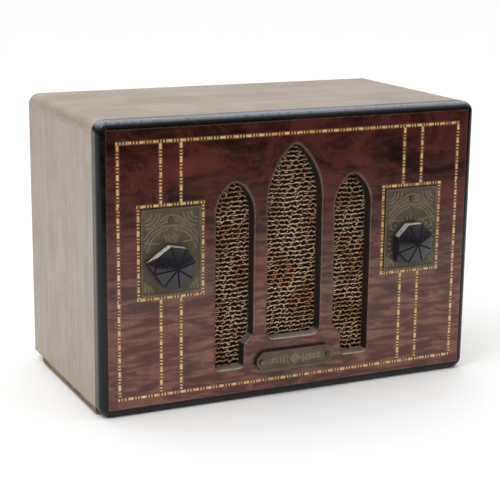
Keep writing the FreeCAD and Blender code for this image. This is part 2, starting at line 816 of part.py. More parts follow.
def tuning_condenser():
    x, z = control_offset, control_height
    plates_y = [gang_front + k * (gang_plate + gang_section) for k in range(3)]
    gang_rear = plates_y[-1] + gang_plate
    frame = [box(x - gang_half_width, x + gang_half_width, y, y + gang_plate, deck, gang_frame_top)
             for y in plates_y]
    frame.append(box(x - gang_half_width, x + gang_half_width, gang_front, gang_rear, deck,
                     deck + gang_plate))
    frame = fused(frame)
    upright = [edge for edge in frame.Edges
               if all(abs(v.Z - gang_frame_top) < near for v in edge.Vertexes)
               and abs(edge.Vertexes[0].X - edge.Vertexes[1].X) < near]
    frame = frame.makeFillet(gang_half_width / 2, upright)
    frame = frame.cut(rod_y(shaft_radius + shaft_clearance, gang_front - past, gang_rear + past, x, z))
    rods, stators, rotors = [], [], []
    for angle in tie_rod_angles:
        turn = math.radians(angle)
        rods.append(rod_y(tie_rod_radius, gang_front, gang_rear,
                          x + tie_rod_circle * math.cos(turn), z + tie_rod_circle * math.sin(turn)))
    for y in plates_y[:2]:
        first = y + gang_plate
        middle = first + gang_section / 2
        hub = ring_y(rotor_hub_radius, shaft_radius, first + rotor_hub_gap,
                     first + gang_section - rotor_hub_gap, x, z)
        vanes = []
        for k in range(rotor_count):
            vane_y = middle + (k - (rotor_count - 1) / 2) * vane_pitch - vane / 2
            vanes.append(half_disc(rotor_radius, vane_y, vane_y + vane, z + rotor_overlap))
        bore = rod_y(shaft_radius, first - past, first + gang_section + past, x, z)
        rotors.append(fused([hub] + [v.cut(bore) for v in vanes]))
        for k in range(rotor_count + 1):
            vane_y = middle + (k - rotor_count / 2) * vane_pitch - vane / 2
            plate = half_disc(stator_radius, vane_y, vane_y + vane, z - stator_drop)
            bore_room = rod_y(stator_inner_radius, vane_y - past, vane_y + vane + past, x, z)
            stators.append(plate.cut(bore_room))
    for rod in rods:
        frame = frame.cut(rod)
    parts["gang_frame"] = frame
    parts["stator_plates"] = fused(rods + stators)
    parts["rotor_plates"] = group(rotors)


# ---------------------------------------------------------------- loudspeaker
def speaker_bolt_places():
    reach = speaker_bolt_circle * math.sqrt(0.5)
    return [(sx * reach, speaker_height + sz * reach) for sx in (-1, 1) for sz in (-1, 1)]


def cloth_and_baffle():
    parts["grille_cloth"] = box(-cloth_half_width, cloth_half_width, cloth_front, baffle_front,
                                side_arch_bottom - cloth_margin, centre_arch_tip + cloth_margin)
    board = box(-baffle_half_width, baffle_half_width, baffle_front, baffle_rear, baffle_bottom,
                baffle_top)
    board = board.cut(rod_y(baffle_hole_radius, baffle_front - past, baffle_rear + past, 0,
                            speaker_height))
    screws, bolts = [], []
    for x, z in baffle_screw_places():
        seat = V(x, baffle_rear, z)
        board = board.cut(screw_seat(seat, V(0, -1, 0), baffle_screw_length))
        screws.append(flat_head_screw(seat, V(0, -1, 0), baffle_screw_length))
    for x, z in speaker_bolt_places():
        seat = V(x, baffle_front, z)
        nut_y = baffle_rear + basket_sheet
        length = nut_y - baffle_front + speaker_bolt_reach
        board = board.cut(screw_seat(seat, V(0, 1, 0), length))
        bolts.append(flat_head_screw(seat, V(0, 1, 0), length))
        nut = hexagon(speaker_nut_corner, x, nut_y, z).extrude(V(0, speaker_nut_thickness, 0))
        nut_rear = nut_y + speaker_nut_thickness
        bolts.append(nut.cut(rod_y(screw_radius, nut_y - past, nut_rear + past, x, z)))
    parts["baffle_board"] = board
    parts["baffle_screws"] = group(screws)
    parts["speaker_bolts"] = group(bolts)


def speaker_frame(x, z):
    """The pressed steel basket, with windows in its sloping wall."""
    seat, inner_y, back = baffle_rear, basket_inner, basket_back
    land = basket_ledge + basket_land
    wall_in = basket_ledge + basket_cone_gap
    wall_out = land + former_wall
    neck = coil_radius + basket_neck_gap
    basket = turned_y([(land, seat), (speaker_radius, seat), (speaker_radius, seat + basket_sheet),
                       (land + basket_sheet, seat + basket_sheet),
                       (land + basket_sheet, inner_y + basket_sheet),
                       (wall_out, inner_y + basket_sheet), (pot_radius, back),
                       (neck, back), (neck, back - basket_sheet),
                       (pot_radius - past, back - basket_sheet), (wall_in, inner_y + basket_sheet),
                       (basket_ledge, inner_y + basket_sheet), (basket_ledge, inner_y),
                       (land, inner_y)], x, z)
    for k in range(basket_windows):
        window = box(-basket_window_width / 2, basket_window_width / 2, inner_y + basket_window_front,
                     back - basket_sheet - basket_window_rear, z + coil_radius, z + speaker_radius)
        window.rotate(V(x, 0, z), V(0, 1, 0), 360 / basket_windows * k)
        basket = basket.cut(window)
    for bolt_x, bolt_z in speaker_bolt_places():
        basket = basket.cut(rod_y(speaker_bolt_radius + bolt_clearance, seat - past,
                                  seat + basket_sheet + past, bolt_x, bolt_z))
    return basket


def cone_parts(x, z):
    """The paper cone and its cloth surround."""
    front_y = basket_inner
    land = basket_ledge + basket_land
    lip = cone_outer_radius - surround_lap
    crest = cone_outer_radius + 0.2
    neck = coil_radius + former_wall
    parts["cone_surround"] = turned_y(
        [(land, front_y - paper), (basket_ledge + 0.8, front_y - paper),
         (crest, front_y - surround_roll - paper), (lip + 0.8, front_y - paper), (lip, front_y - paper),
         (lip, front_y), (lip + 1.0, front_y), (crest, front_y - surround_roll),
         (basket_ledge + 0.6, front_y), (land, front_y)], x, z)
    parts["speaker_cone"] = turned_y(
        [(cone_outer_radius, front_y), (cone_outer_radius, front_y + paper), (lip - 0.2, front_y + paper),
         (neck, cone_neck + 0.8), (neck, cone_neck + neck_length), (coil_radius, cone_neck + neck_length),
         (coil_radius, cone_neck), (lip - 1.2, front_y)], x, z)


def motor_parts(x, z):
    """The voice coil, dust cap and spider, and the field magnet behind them."""
    plate_y, pole_end = basket_back, basket_back + pole_plate_thickness
    former = coil_radius - former_wall
    former_front = cone_neck - former_front_reach
    wound = coil_radius + coil_winding
    coil_end = pole_end + coil_reach
    parts["voice_coil"] = turned_y(
        [(former, former_front), (coil_radius, former_front), (coil_radius, plate_y + former_wall),
         (wound, plate_y + former_wall), (wound, coil_end), (former, coil_end)], x, z)
    dome = [(coil_radius, 0), (coil_radius, -0.5), (9.5, -2.3), (5.0, -3.4), (0, -3.8), (0, -3.3),
            (5.0, -2.9), (9.2, -1.8), (former - 0.6, 0)]
    parts["dust_cap"] = turned_y([(radius, former_front + dy) for radius, dy in dome], x, z)
    waves = [(coil_radius + former_wall, -2.2), (16.5, -2.2), (19.0, -0.6), (21.5, -2.0), (24.0, -0.4),
             (27.0, -0.4)]
    rear_plate = plate_y - basket_sheet
    upper = [(radius, rear_plate + dy) for radius, dy in waves]
    lower = [(radius, rear_plate + dy + former_wall) for radius, dy in reversed(waves)]
    parts["cone_spider"] = turned_y(upper + lower, x, z)
    gap_radius = wound + magnet_gap
    pot_end = pole_end + pot_length
    pot_inner = pot_radius - pot_wall
    floor_y = pot_end - pot_wall - past
    parts["pole_plate"] = ring_y(pot_radius, gap_radius, plate_y, pole_end, x, z)
    parts["field_pot"] = turned_y(
        [(pot_radius, pole_end), (pot_radius, pot_end), (0, pot_end), (0, plate_y - pole_reach),
         (pole_radius, plate_y - pole_reach), (pole_radius, floor_y), (pot_inner, floor_y),
         (pot_inner, pole_end)], x, z)
    parts["field_coil"] = ring_y(pot_inner - field_coil_gap, gap_radius, pole_end + pole_reach,
                                 floor_y - pole_reach, x, z)
    transformer(pole_end + core_set_back, pot_end)


def loudspeaker():
    x, z = 0, speaker_height
    parts["speaker_basket"] = speaker_frame(x, z)
    cone_parts(x, z)
    motor_parts(x, z)


def transformer(front_y, rear_y):
    low = transformer_low
    high = low + core_height
    middle = (front_y + rear_y) / 2
    y0, y1 = middle - core_stack / 2, middle + core_stack / 2
    half = core_width / 2
    window_outer = half - core_yoke - window_inset
    core = box(-half, half, y0, y1, low, high)
    for x0, x1 in ((-window_outer, -core_leg / 2), (core_leg / 2, window_outer)):
        core = core.cut(box(x0, x1, y0 - past, y1 + past, low + core_yoke, high - core_yoke))
    outer_strap = box(-half - strap, half + strap, y0 + strap, y1 - strap, speaker_height, high + strap)
    inside = box(-half, half, y0, y1, speaker_height - past, high)
    saddle = rod_y(pot_radius, 0, cabinet_depth, 0, speaker_height)
    clamp = outer_strap.cut(inside).cut(saddle)
    clamp = group([solid for solid in clamp.Solids if solid.BoundBox.ZMax > high])
    winding = box(-window_outer, window_outer, y0 - coil_overhang, y1 + coil_overhang,
                  low + core_yoke, high - core_yoke)
    upright = [edge for edge in winding.Edges
               if abs(edge.Vertexes[0].Z - edge.Vertexes[1].Z) > core_height / 3]
    winding = winding.makeFillet(coil_corner, upright)
    winding = winding.cut(box(-core_leg / 2, core_leg / 2, y0, y1, low, high))
    parts["transformer_core"] = group([core, clamp])
    parts["transformer_coil"] = winding


# ---------------------------------------------------------------- chassis
def chassis():
    outer = box(-chassis_half_width, chassis_half_width, chassis_front, chassis_rear, side_bottom, deck)
    inner = box(-chassis_half_width + sheet, chassis_half_width - sheet, chassis_front + sheet,
                chassis_rear - sheet, side_bottom - past, deck - sheet)
    pan = outer.cut(inner)
    for side in (-1, 1):
        x0, x1 = sorted((side * (chassis_half_width - sheet), side * (chassis_half_width - chassis_flange)))
        flange = box(x0, x1, chassis_front + sheet, chassis_rear - sheet, side_bottom,
                     side_bottom + sheet)
        pan = pan.fuse(flange)
    pan = pan.removeSplitter()
    for x, y, length in bottom_screw_places():
        pan = pan.cut(rod_z(screw_radius, 0, foot_height + length, x, y))
    for x in valves.values():
        pan = pan.cut(rod_z(valve_pin_circle + pin_hole_margin, deck - sheet - past, deck + past, x,
                            valve_row))
        for y in socket_rivet_rows():
            pan = pan.cut(rod_z(socket_rivet_radius, deck - sheet - past, deck + past, x, y))
    return pan.cut(rod_y(grommet_hole, chassis_rear - sheet - past, chassis_rear + past, grommet_x,
                         grommet_height))


def grommet():
    """A rubber ring, grooved round the edge of its hole."""
    front_y, rear_y = chassis_rear - sheet, chassis_rear
    edge = grommet_flange - grommet_edge
    front_half_ring = [(grommet_bore, front_y - grommet_lip), (edge, front_y - grommet_lip),
                       (grommet_flange, front_y - grommet_lip + grommet_edge),
                       (grommet_flange, front_y), (grommet_hole, front_y)]
    rear_half_ring = [(grommet_hole, rear_y), (grommet_flange, rear_y),
                      (grommet_flange, rear_y + grommet_lip - grommet_edge),
                      (edge, rear_y + grommet_lip), (grommet_bore, rear_y + grommet_lip)]
    return turned_y(front_half_ring + rear_half_ring, grommet_x, grommet_height)


def pin_places(x):
    angles = [math.radians(360 / valve_pins * k - 90) for k in range(valve_pins)]
    return [(x + valve_pin_circle * math.cos(a), valve_row + valve_pin_circle * math.sin(a))
            for a in angles]


def socket_rivet_rows():
    return [valve_row + side * socket_rivet_spacing / 2 for side in (-1, 1)]


def socket(x):
    """A round wafer with two riveted ears."""
    ears = [rod_z(socket_ear_radius, deck, valve_seat, x, y) for y in socket_rivet_rows()]
    wafer = fused([rod_z(socket_radius, deck, valve_seat, x, valve_row)] + ears)
    for px, py in pin_places(x):
        wafer = wafer.cut(rod_z(valve_pin_radius + valve_pin_clearance, deck - past, valve_seat + past,
                                px, py))
    rivets = [rod_z(socket_rivet_radius, deck - sheet - rivet_tail, valve_seat + rivet_head, x, y)
              for y in socket_rivet_rows()]
    for rivet in rivets:
        wafer = wafer.cut(rivet)
    return [wafer] + rivets


def valve_base(x):
    cup = rod_z(base_radius, valve_seat + base_gap, valve_seat + base_height, x, valve_row)
    rim = [edge for edge in cup.Edges
           if all(abs(v.Z - valve_seat - base_height) < near for v in edge.Vertexes)
           and edge.Curve.TypeId.endswith("Circle")]
    cup = cup.makeFillet(base_round, rim)
    cup = cup.cut(rod_z(neck_radius, valve_seat + base_floor, valve_seat + base_height + past, x,
                        valve_row))
    pins = [rod_z(valve_pin_radius, valve_seat - valve_pin_length, valve_seat + base_gap, px, py)
            for px, py in pin_places(x)]
    return fused([cup] + pins)


def bulb_profile(shrink):
    """(radius, height above the socket) from the neck up to the peak of the dome."""
    top = bulb_height - shrink
    shoulder = bulb_height * 0.62
    dome_low = bulb_height * 0.86
    points = [(neck_radius - shrink, base_height - neck_reach), (neck_radius - shrink, base_height + 2),
              (bulb_radius - shrink - 1.2, shoulder - 12), (bulb_radius - shrink, shoulder - 5),
              (bulb_radius - shrink, shoulder), (bulb_radius - shrink - 1.0, shoulder + 3),
              (dome_radius - shrink + 0.6, shoulder + 13), (dome_radius - shrink, dome_low)]
    steps = 6
    for k in range(1, steps + 1):
        turn = math.radians(90 * k / steps)
        points.append(((dome_radius - shrink) * math.cos(turn),
                       dome_low + (top - dome_low) * math.sin(turn)))
    return points


def bulb(x):
    outer = bulb_profile(0)
    inner = bulb_profile(glass)[::-1]
    profile = [(radius, valve_seat + height) for radius, height in outer + inner]
    return turned_z(profile, x, valve_row)


def electrodes(x):
    """The glass stem, anode, cathode, mica spacers and support posts of one valve."""
    low = valve_seat + base_height - stem_drop
    anode_low, anode_high = low + anode_first, low + anode_last
    stem = Part.makeCone(stem_low_radius, stem_high_radius, stem_height, V(x, valve_row, low), V(0, 0, 1))
    anode = rod_z(anode_radius, anode_low, anode_high, x, valve_row).cut(
        rod_z(anode_radius - anode_wall, anode_low - past, anode_high + past, x, valve_row))
    cathode = rod_z(cathode_radius, anode_low - cathode_reach, anode_high + cathode_reach, x, valve_row)
    levels = (anode_low - spacer_gap - spacer_thickness, anode_high + spacer_gap)
    spacers = [rod_z(spacer_radius, z, z + spacer_thickness, x, valve_row).cut(cathode) for z in levels]
    posts = []
    for side in (-1, 1):
        post = rod_z(post_radius, low + post_low, anode_high + post_reach, x + side * post_offset,
                     valve_row)
        spacers = [spacer.cut(post) for spacer in spacers]
        posts.append(post.cut(stem))
    return [stem, anode, cathode] + spacers + posts


def grid_cap(x):
    low = valve_seat + bulb_height - cap_lap
    cap = rod_z(cap_radius, low, low + cap_height, x, valve_row)
    edges = [edge for edge in cap.Edges if all(v.Z > low + cap_lap for v in edge.Vertexes)
             and edge.Curve.TypeId.endswith("Circle")]
    cap = cap.makeFillet(cap_round, edges)
    inside = turned_z([(radius, valve_seat + height) for radius, height in bulb_profile(0)]
                      + [(0, valve_seat + base_height - neck_reach)], x, valve_row)
    return cap.cut(inside)


def valve_set():
    sockets, inner, caps = [], [], []
    for name, x in valves.items():
        sockets += socket(x)
        parts[name + "_tube_base"] = valve_base(x)
        parts[name + "_tube_bulb"] = bulb(x)
        inner += electrodes(x)
        if name in capped_valves:
            caps.append(grid_cap(x))
    parts["tube_sockets"] = group(sockets)
    parts["tube_electrodes"] = group(inner)
    parts["grid_caps"] = group(caps)


def can(x, y, radius, height):
    shell = rod_z(radius, deck, deck + height, x, y)
    top = [edge for edge in shell.Edges if all(abs(v.Z - deck - height) < near for v in edge.Vertexes)
           and edge.Curve.TypeId.endswith("Circle")]
    return shell.makeFillet(can_round, top)


def leads():
    """From the coil can, or from between the valves, over to the caps on the glass."""
    cap_top = valve_seat + bulb_height - cap_lap + cap_height
    over = cap_top + lead_rise
    coil_top = deck + coil_can_height
    rf = valves["rf"]
    wires = [lead([V(coil_can_x, coil_can_y, coil_top), V(coil_can_x, coil_can_y, coil_top + 20),
                   V(coil_can_x - 3, coil_can_y + 9, over - 5), V(rf, valve_row - 8, over + 1),
                   V(rf, valve_row, over), V(rf, valve_row, cap_top)], lead_radius)]
    for name, before in (("detector", "rf"), ("output", "detector")):
        x = valves[name]
        foot = V((x + valves[before]) / 2, valve_row - 14, deck)
        wires.append(lead([foot, foot + V(0, 0, 36), foot + V(1, -1, 70), foot + V(2, 0, 100),
                           V(x - 8, valve_row - 4, over), V(x, valve_row, over + 1),
                           V(x, valve_row, cap_top)], lead_radius))
    return group(wires)


def speaker_lead():
    coil_z = transformer_low + core_height / 2
    coil_y = basket_back + pole_plate_thickness + (core_set_back + pot_length) / 2
    start = core_width / 2 + strap
    return lead([V(start, coil_y, coil_z), V(start + 10, coil_y, coil_z),
                 V(start + 21, coil_y + 1, coil_z - 12), V(start + 24, coil_y, coil_z - 34),
                 V(start + 22, coil_y, coil_z - 60), V(start + 22, coil_y, deck)],
                speaker_lead_radius)


# ---------------------------------------------------------------- assembly
def build():
    front()
    mouldings()
    cabinet()
    parts["rear_feet"] = feet()
    parts["glue_blocks"] = glue_blocks()
    front_plates()
    controls()
    tuning_condenser()
    cloth_and_baffle()
    loudspeaker()
    parts["chassis"] = chassis()
    parts["cord_grommet"] = grommet()
    valve_set()
    parts["coil_can"] = can(coil_can_x, coil_can_y, coil_can_radius, coil_can_height)
    parts["filter_capacitor"] = can(condenser_can_x, condenser_can_y, condenser_can_radius,
                                    condenser_can_height)
    parts["grid_leads"] = leads()
    parts["speaker_leads"] = speaker_lead()


def export():
    os.makedirs("parts", exist_ok=True)
    for old in os.listdir("parts"):
        os.remove(os.path.join("parts", old))
    for name, shape in parts.items():
        shape = shape.copy()
        shape.translate(origin_shift)
        if not shape.isValid() or shape.Volume <= 0:
            print("CHECK", name, "valid", shape.isValid(), "volume", shape.Volume)
        shape.exportStep(os.path.join("parts", name + ".step"))
    print(len(parts), "nodes")


build()
export()
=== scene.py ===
"""The finished look of a small wooden table radio: veneer, inlay, lacquer, bronze plates, knobs, cloth,
valves, loudspeaker and chassis, built round its CAD frame.

Everything is in metres in the frame's own axes: +X to the right, +Y from the front to the open back,
+Z up. Materials work in millimetres, from Object coordinates. Small relief pieces are drawn flat, with
+X right, +Y up and +Z towards the user, and are then stood up against the front.
"""
import math
import random

import bmesh
import bpy
import numpy as np
from mathutils import Matrix, Vector


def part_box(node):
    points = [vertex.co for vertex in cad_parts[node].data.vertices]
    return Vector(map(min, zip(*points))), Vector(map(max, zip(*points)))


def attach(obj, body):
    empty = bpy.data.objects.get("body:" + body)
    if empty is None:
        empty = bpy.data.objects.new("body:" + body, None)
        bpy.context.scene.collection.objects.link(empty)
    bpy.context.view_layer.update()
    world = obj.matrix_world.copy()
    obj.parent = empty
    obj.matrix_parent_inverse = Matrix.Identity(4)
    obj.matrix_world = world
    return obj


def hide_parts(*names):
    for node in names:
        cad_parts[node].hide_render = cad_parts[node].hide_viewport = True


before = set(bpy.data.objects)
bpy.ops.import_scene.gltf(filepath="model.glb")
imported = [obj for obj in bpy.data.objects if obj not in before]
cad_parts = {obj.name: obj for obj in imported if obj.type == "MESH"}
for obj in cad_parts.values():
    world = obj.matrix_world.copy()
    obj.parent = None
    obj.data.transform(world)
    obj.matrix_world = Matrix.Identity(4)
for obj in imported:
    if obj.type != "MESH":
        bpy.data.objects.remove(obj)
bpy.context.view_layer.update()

bl_info = {
    "name": "Tabletop Radio",
    "version": (1, 0, 0),
    "blender": (4, 5, 0),
    "location": "View3D > Sidebar > Radio",
    "description": "Builds the finish and the fine pieces of a small wooden table radio",
    "category": "Add Mesh",
}

MM = 0.001
CONTROLS = {"volume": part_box("volume_shaft"), "tuning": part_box("tuning_shaft")}
VALVES = ("rf", "detector", "output", "rectifier")
BAND = 2.0      # width of the inlaid banding, in millimetres


def colour(red, green, blue):
    """A paint-chart colour, 0 to 255 on each channel, as linear light."""
    def linear(value):
        value /= 255
        return value / 12.92 if value <= 0.04045 else ((value + 0.055) / 1.055) ** 2.4
    return (linear(red), linear(green), linear(blue), 1.0)


def colour_prop(name, description, red, green, blue):
    return bpy.props.FloatVectorProperty(name=name, description=description, size=4, min=0, max=1,
                                         subtype="COLOR", default=colour(red, green, blue))


def length_prop(name, description, millimetres):
    return bpy.props.FloatProperty(name=name, description=description, default=millimetres * MM,
                                   min=0, subtype="DISTANCE", unit="LENGTH", precision=5)


def angle_prop(name, description, degrees):
    return bpy.props.FloatProperty(name=name, description=description, default=math.radians(degrees),
                                   subtype="ANGLE")


def number_prop(name, description, default, **settings):
    return bpy.props.FloatProperty(name=name, description=description, default=default, **settings)


# ---------------------------------------------------------------- settings
class CabinetSettings(bpy.types.PropertyGroup):
    veneer_dark: colour_prop("Dark veneer", "Deepest tone of the front veneer", 32, 9, 6)
    veneer_red: colour_prop("Red veneer", "Warm patches of the front veneer", 96, 34, 26)
    veneer_light: colour_prop("Light veneer", "Ripples in the front veneer", 138, 90, 68)
    faded_light: colour_prop("Faded wood", "Light tone of the sides and top", 168, 157, 145)
    faded_dark: colour_prop("Faded grain", "Dark streaks of the sides and top", 148, 132, 117)
    faded_pink: colour_prop("Stain left in the grain", "Reddish streaks on the top", 156, 118, 104)
    lacquer: colour_prop("Lacquer", "Black lacquer of the mouldings", 14, 11, 11)
    lacquer_worn: colour_prop("Worn lacquer", "Rubbed edges of the mouldings", 150, 140, 132)
    wear_width: length_prop("Wear width", "How far rubbing reaches from an edge", 1.3)


class InlaySettings(bpy.types.PropertyGroup):
    repeat: length_prop("Repeat", "Length of one long and two short blocks", 8.45)
    long_block: length_prop("Long block", "Length of the long light block", 3.7)
    short_block: length_prop("Short block", "Length of each short light block", 0.95)
    light: colour_prop("Light block", "Pale inlaid wood", 246, 204, 142)
    amber: colour_prop("Amber block", "Pale wood where old varnish has yellowed", 214, 142, 64)
    dark: colour_prop("Dark block", "Dyed inlaid wood", 46, 23, 11)
    varnish: colour_prop("Varnish line", "Amber varnish along both edges of a band", 112, 66, 26)


class PlateSettings(bpy.types.PropertyGroup):
    bronze: colour_prop("Bronze", "Olive bronze of the plates", 106, 92, 78)
    bronze_dark: colour_prop("Old bronze", "Dirt in the hollows of the plates", 40, 34, 29)
    bronze_bright: colour_prop("Rubbed bronze", "High spots of the plates", 206, 186, 152)
    rim: length_prop("Rim", "Width of the raised rim", 0.8)
    relief: length_prop("Relief", "Height of the stamped lines", 0.42)
    line: length_prop("Line", "Half width of a stamped line", 0.36)


class KnobSettings(bpy.types.PropertyGroup):
    corner_radius: length_prop("Corner radius", "From the middle to a corner", 13.2)
    side_height: length_prop("Side height", "Height of the eight flat sides", 5.2)
    roof_height: length_prop("Roof height", "Rise of the eight-sided roof", 3.8)
    nose_reach: length_prop("Nose reach", "From the middle to the pointer's tip", 17.0)
    groove: length_prop("Groove", "Half width of the groove between facets", 0.34)
    groove_area: number_prop("Groove area", "Largest face of a groove, in square metres", 1.2e-5)
    volume_angle: angle_prop("Volume pointer", "Anticlockwise from the right", 169)
    tuning_angle: angle_prop("Tuning pointer", "Anticlockwise from the right", 226)
    body: colour_prop("Body", "Dark moulded resin", 29, 23, 33)
    worn: colour_prop("Worn resin", "Edges dulled by fingers", 92, 86, 94)


class ClothSettings(bpy.types.PropertyGroup):
    row_pitch: length_prop("Row pitch", "Between two wavy rows of thread", 2.85)
    wave_length: length_prop("Wave length", "Of the waves along a row", 4.7)
    swing: length_prop("Swing", "How far a row waves up and down", 0.42)
    depth: length_prop("Depth", "How far the rows stand off the ground weave", 0.26)
    mesh_step: length_prop("Mesh step", "Spacing of the mesh", 0.47)
    gold: colour_prop("Gold thread", "Wavy metallic thread", 252, 218, 174)
    orange: colour_prop("Orange tint", "Patches where the thread has browned", 214, 150, 94)
    ground: colour_prop("Ground", "Black ground weave", 9, 6, 4)


class ValveSettings(bpy.types.PropertyGroup):
    steps: bpy.props.IntProperty(name="Steps", description="Segments round each bulb", default=40, min=12)
    glass_wall: length_prop("Glass", "Thickness of the glass", 0.8)


class StageSettings(bpy.types.PropertyGroup):
    lens: number_prop("Lens", "Focal length in millimetres", 101.1)
    eye: bpy.props.FloatVectorProperty(name="Eye", description="Where the camera stands", size=3,
                                       subtype="TRANSLATION", unit="LENGTH",
                                       default=(-0.3826, -0.8091, 0.2962))
    azimuth: angle_prop("Azimuth", "Turn of the view from straight ahead", -25.23)
    elevation: angle_prop("Elevation", "How far the camera looks down", 13.69)
    roll: angle_prop("Roll", "Tilt of the camera", 0.64)
    floor: colour_prop("Floor", "Pale floor", 250, 250, 249)
    key: number_prop("Key light", "High on the left", 5, unit="POWER")
    top: number_prop("Top light", "Overhead", 0.8, unit="POWER")
    fill: number_prop("Fill light", "Low on the right", 1, unit="POWER")
    air_low: number_prop("Low air", "Light from below the table", 0.03)
    air_high: number_prop("High air", "Light from above", 1.38)
    front_share: number_prop("Front share", "Share of the light from above that comes from in front", 0.5)
    floor_front: length_prop("Floor in front", "From the middle to the floor's front edge", 470)


# ---------------------------------------------------------------- modelling helpers
def deselect():
    if bpy.context.mode != "OBJECT":
        bpy.ops.object.mode_set(mode="OBJECT")
    bpy.ops.object.select_all(action="DESELECT")


def take(piece):
    """Makes a piece the only one selected, and active."""
    deselect()
    piece.select_set(True)
    bpy.context.view_layer.objects.active = piece


def pick(piece, kind, wanted):
    """In edit mode, selects the faces, edges or verts that wanted() accepts and nothing else."""
    modes = {"verts": "VERT", "edges": "EDGE", "faces": "FACE"}
    bpy.ops.mesh.select_mode(type=modes[kind])
    bpy.ops.mesh.select_all(action="DESELECT")
    mesh = bmesh.from_edit_mesh(piece.data)
    for item in getattr(mesh, kind):
        if wanted(item):
            item.select_set(True)
    mesh.select_flush_mode()
    bmesh.update_edit_mesh(piece.data)


def start(name, primitive, scale=(1, 1, 1), **settings):
    """Adds a primitive with nothing else selected, names it, and opens it in edit mode."""
    deselect()
    getattr(bpy.ops.mesh, "primitive_" + primitive + "_add")(**settings)
    piece = bpy.context.object
    piece.name = name
    piece.data.name = name
    piece.scale = scale
    bpy.ops.object.transform_apply(location=True, rotation=True, scale=True)
    bpy.ops.object.mode_set(mode="EDIT")
    return piece


def flat_slab(name, width, height, thickness):
    """A block with its back at Z = 0, by its sizes along X, Y and Z in metres."""
    return start(name, "cube", size=1, location=(0, 0, thickness / 2), scale=(width, height, thickness))


def move(delta):
    bpy.ops.transform.translate(value=delta)


def modify(piece, kind, **settings):
    take(piece)
    modifier = piece.modifiers.new(kind.title(), kind)
    for key, value in settings.items():
        setattr(modifier, key, value)
    bpy.ops.object.modifier_apply(modifier=modifier.name)


def soften(piece, width, segments=2, angle=25):
    modify(piece, "BEVEL", width=width, segments=segments, limit_method="ANGLE",
           angle_limit=math.radians(angle))
    smooth(piece)


def smooth(piece, angle=32):
    take(piece)
    bpy.ops.object.shade_smooth_by_angle(angle=math.radians(angle))


def stand_up(piece, place):
    """Turns a piece that was drawn flat to face the user, and sets it down at a place."""
    take(piece)
    piece.rotation_euler = (math.radians(90), 0, 0)
    piece.location = place
    bpy.ops.object.transform_apply(location=True, rotation=True, scale=True)


def join(name, pieces):
    deselect()
    for piece in pieces:
        piece.select_set(True)
    bpy.context.view_layer.objects.active = pieces[0]
    bpy.ops.object.join()
    pieces[0].name = name
    pieces[0].data.name = name
    return pieces[0]


def ribs(name, lines, radius, squash=1.0):
    """Round stamped lines, as one mesh, along flat polylines of (x, y) points in millimetres."""
    deselect()
    curve = bpy.data.curves.new(name, "CURVE")
    curve.dimensions = "3D"
    curve.bevel_depth = radius
    curve.bevel_resolution = 1
    curve.use_fill_caps = True
    for points in lines:
        spline = curve.splines.new("POLY")
        spline.points.add(len(points) - 1)
        for point, (x, y) in zip(spline.points, points):
            point.co = (x * MM, y * MM, 0, 1)
    piece = bpy.data.objects.new(name, curve)
    bpy.context.collection.objects.link(piece)
    take(piece)
    bpy.ops.object.convert(target="MESH")
    piece = bpy.context.object
    piece.scale = (1, 1, squash)
    bpy.ops.object.transform_apply(location=True, rotation=True, scale=True)
    return piece


def lathe(name, profile, centre, steps=40):
    """Spins (radius, height) points, in millimetres, about the upright axis through centre."""
    deselect()
    bpy.ops.mesh.primitive_plane_add(size=MM, location=(0, 0, 0))
    piece = bpy.context.object
    piece.name = name
    piece.data.name = name
    bpy.ops.object.mode_set(mode="EDIT")
    bpy.ops.mesh.select_mode(type="VERT")
    bpy.ops.mesh.select_all(action="SELECT")
    bpy.ops.mesh.merge(type="CENTER")
    centre = Vector(centre)
    places = [centre + Vector((radius, 0, height)) * MM for radius, height in profile]
    move(places[0])
    for before, after in zip(places, places[1:]):
        bpy.ops.mesh.extrude_region_move(TRANSFORM_OT_translate={"value": after - before})
    bpy.ops.mesh.select_all(action="SELECT")
    bpy.ops.mesh.spin(steps=steps, angle=2 * math.pi, center=centre, axis=(0, 0, 1))
    bpy.ops.mesh.select_all(action="SELECT")
    bpy.ops.mesh.remove_doubles(threshold=0.00001)
    bpy.ops.mesh.normals_make_consistent(inside=False)
    bpy.ops.object.mode_set(mode="OBJECT")
    smooth(piece, 40)
    return piece


def arc(centre_x, centre_y, radius, first, last, steps=10):
    """Points on an arc, with angles in degrees anticlockwise from the right."""
    turns = [math.radians(first + (last - first) * k / steps) for k in range(steps + 1)]
    return [(centre_x + radius * math.cos(a), centre_y + radius * math.sin(a)) for a in turns]


def mirrored(lines):
    return lines + [[(-x, y) for x, y in line] for line in lines]


def place_piece(piece, body, finishes, *replaced, slot=None):
    """Gives a finished piece its finishes, its body and the CAD nodes that it stands for."""
    slots = piece.data.materials
    for index, finish in enumerate(finishes if isinstance(finishes, tuple) else (finishes,)):
        if index < len(slots):
            slots[index] = finish
        else:
            slots.append(finish)
    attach(piece, body)
    if replaced:
        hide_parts(*replaced)


def dress(material, *nodes):
    """Gives CAD nodes a material."""
    for node in nodes:
        for material_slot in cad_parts[node].material_slots:
            material_slot.material = material


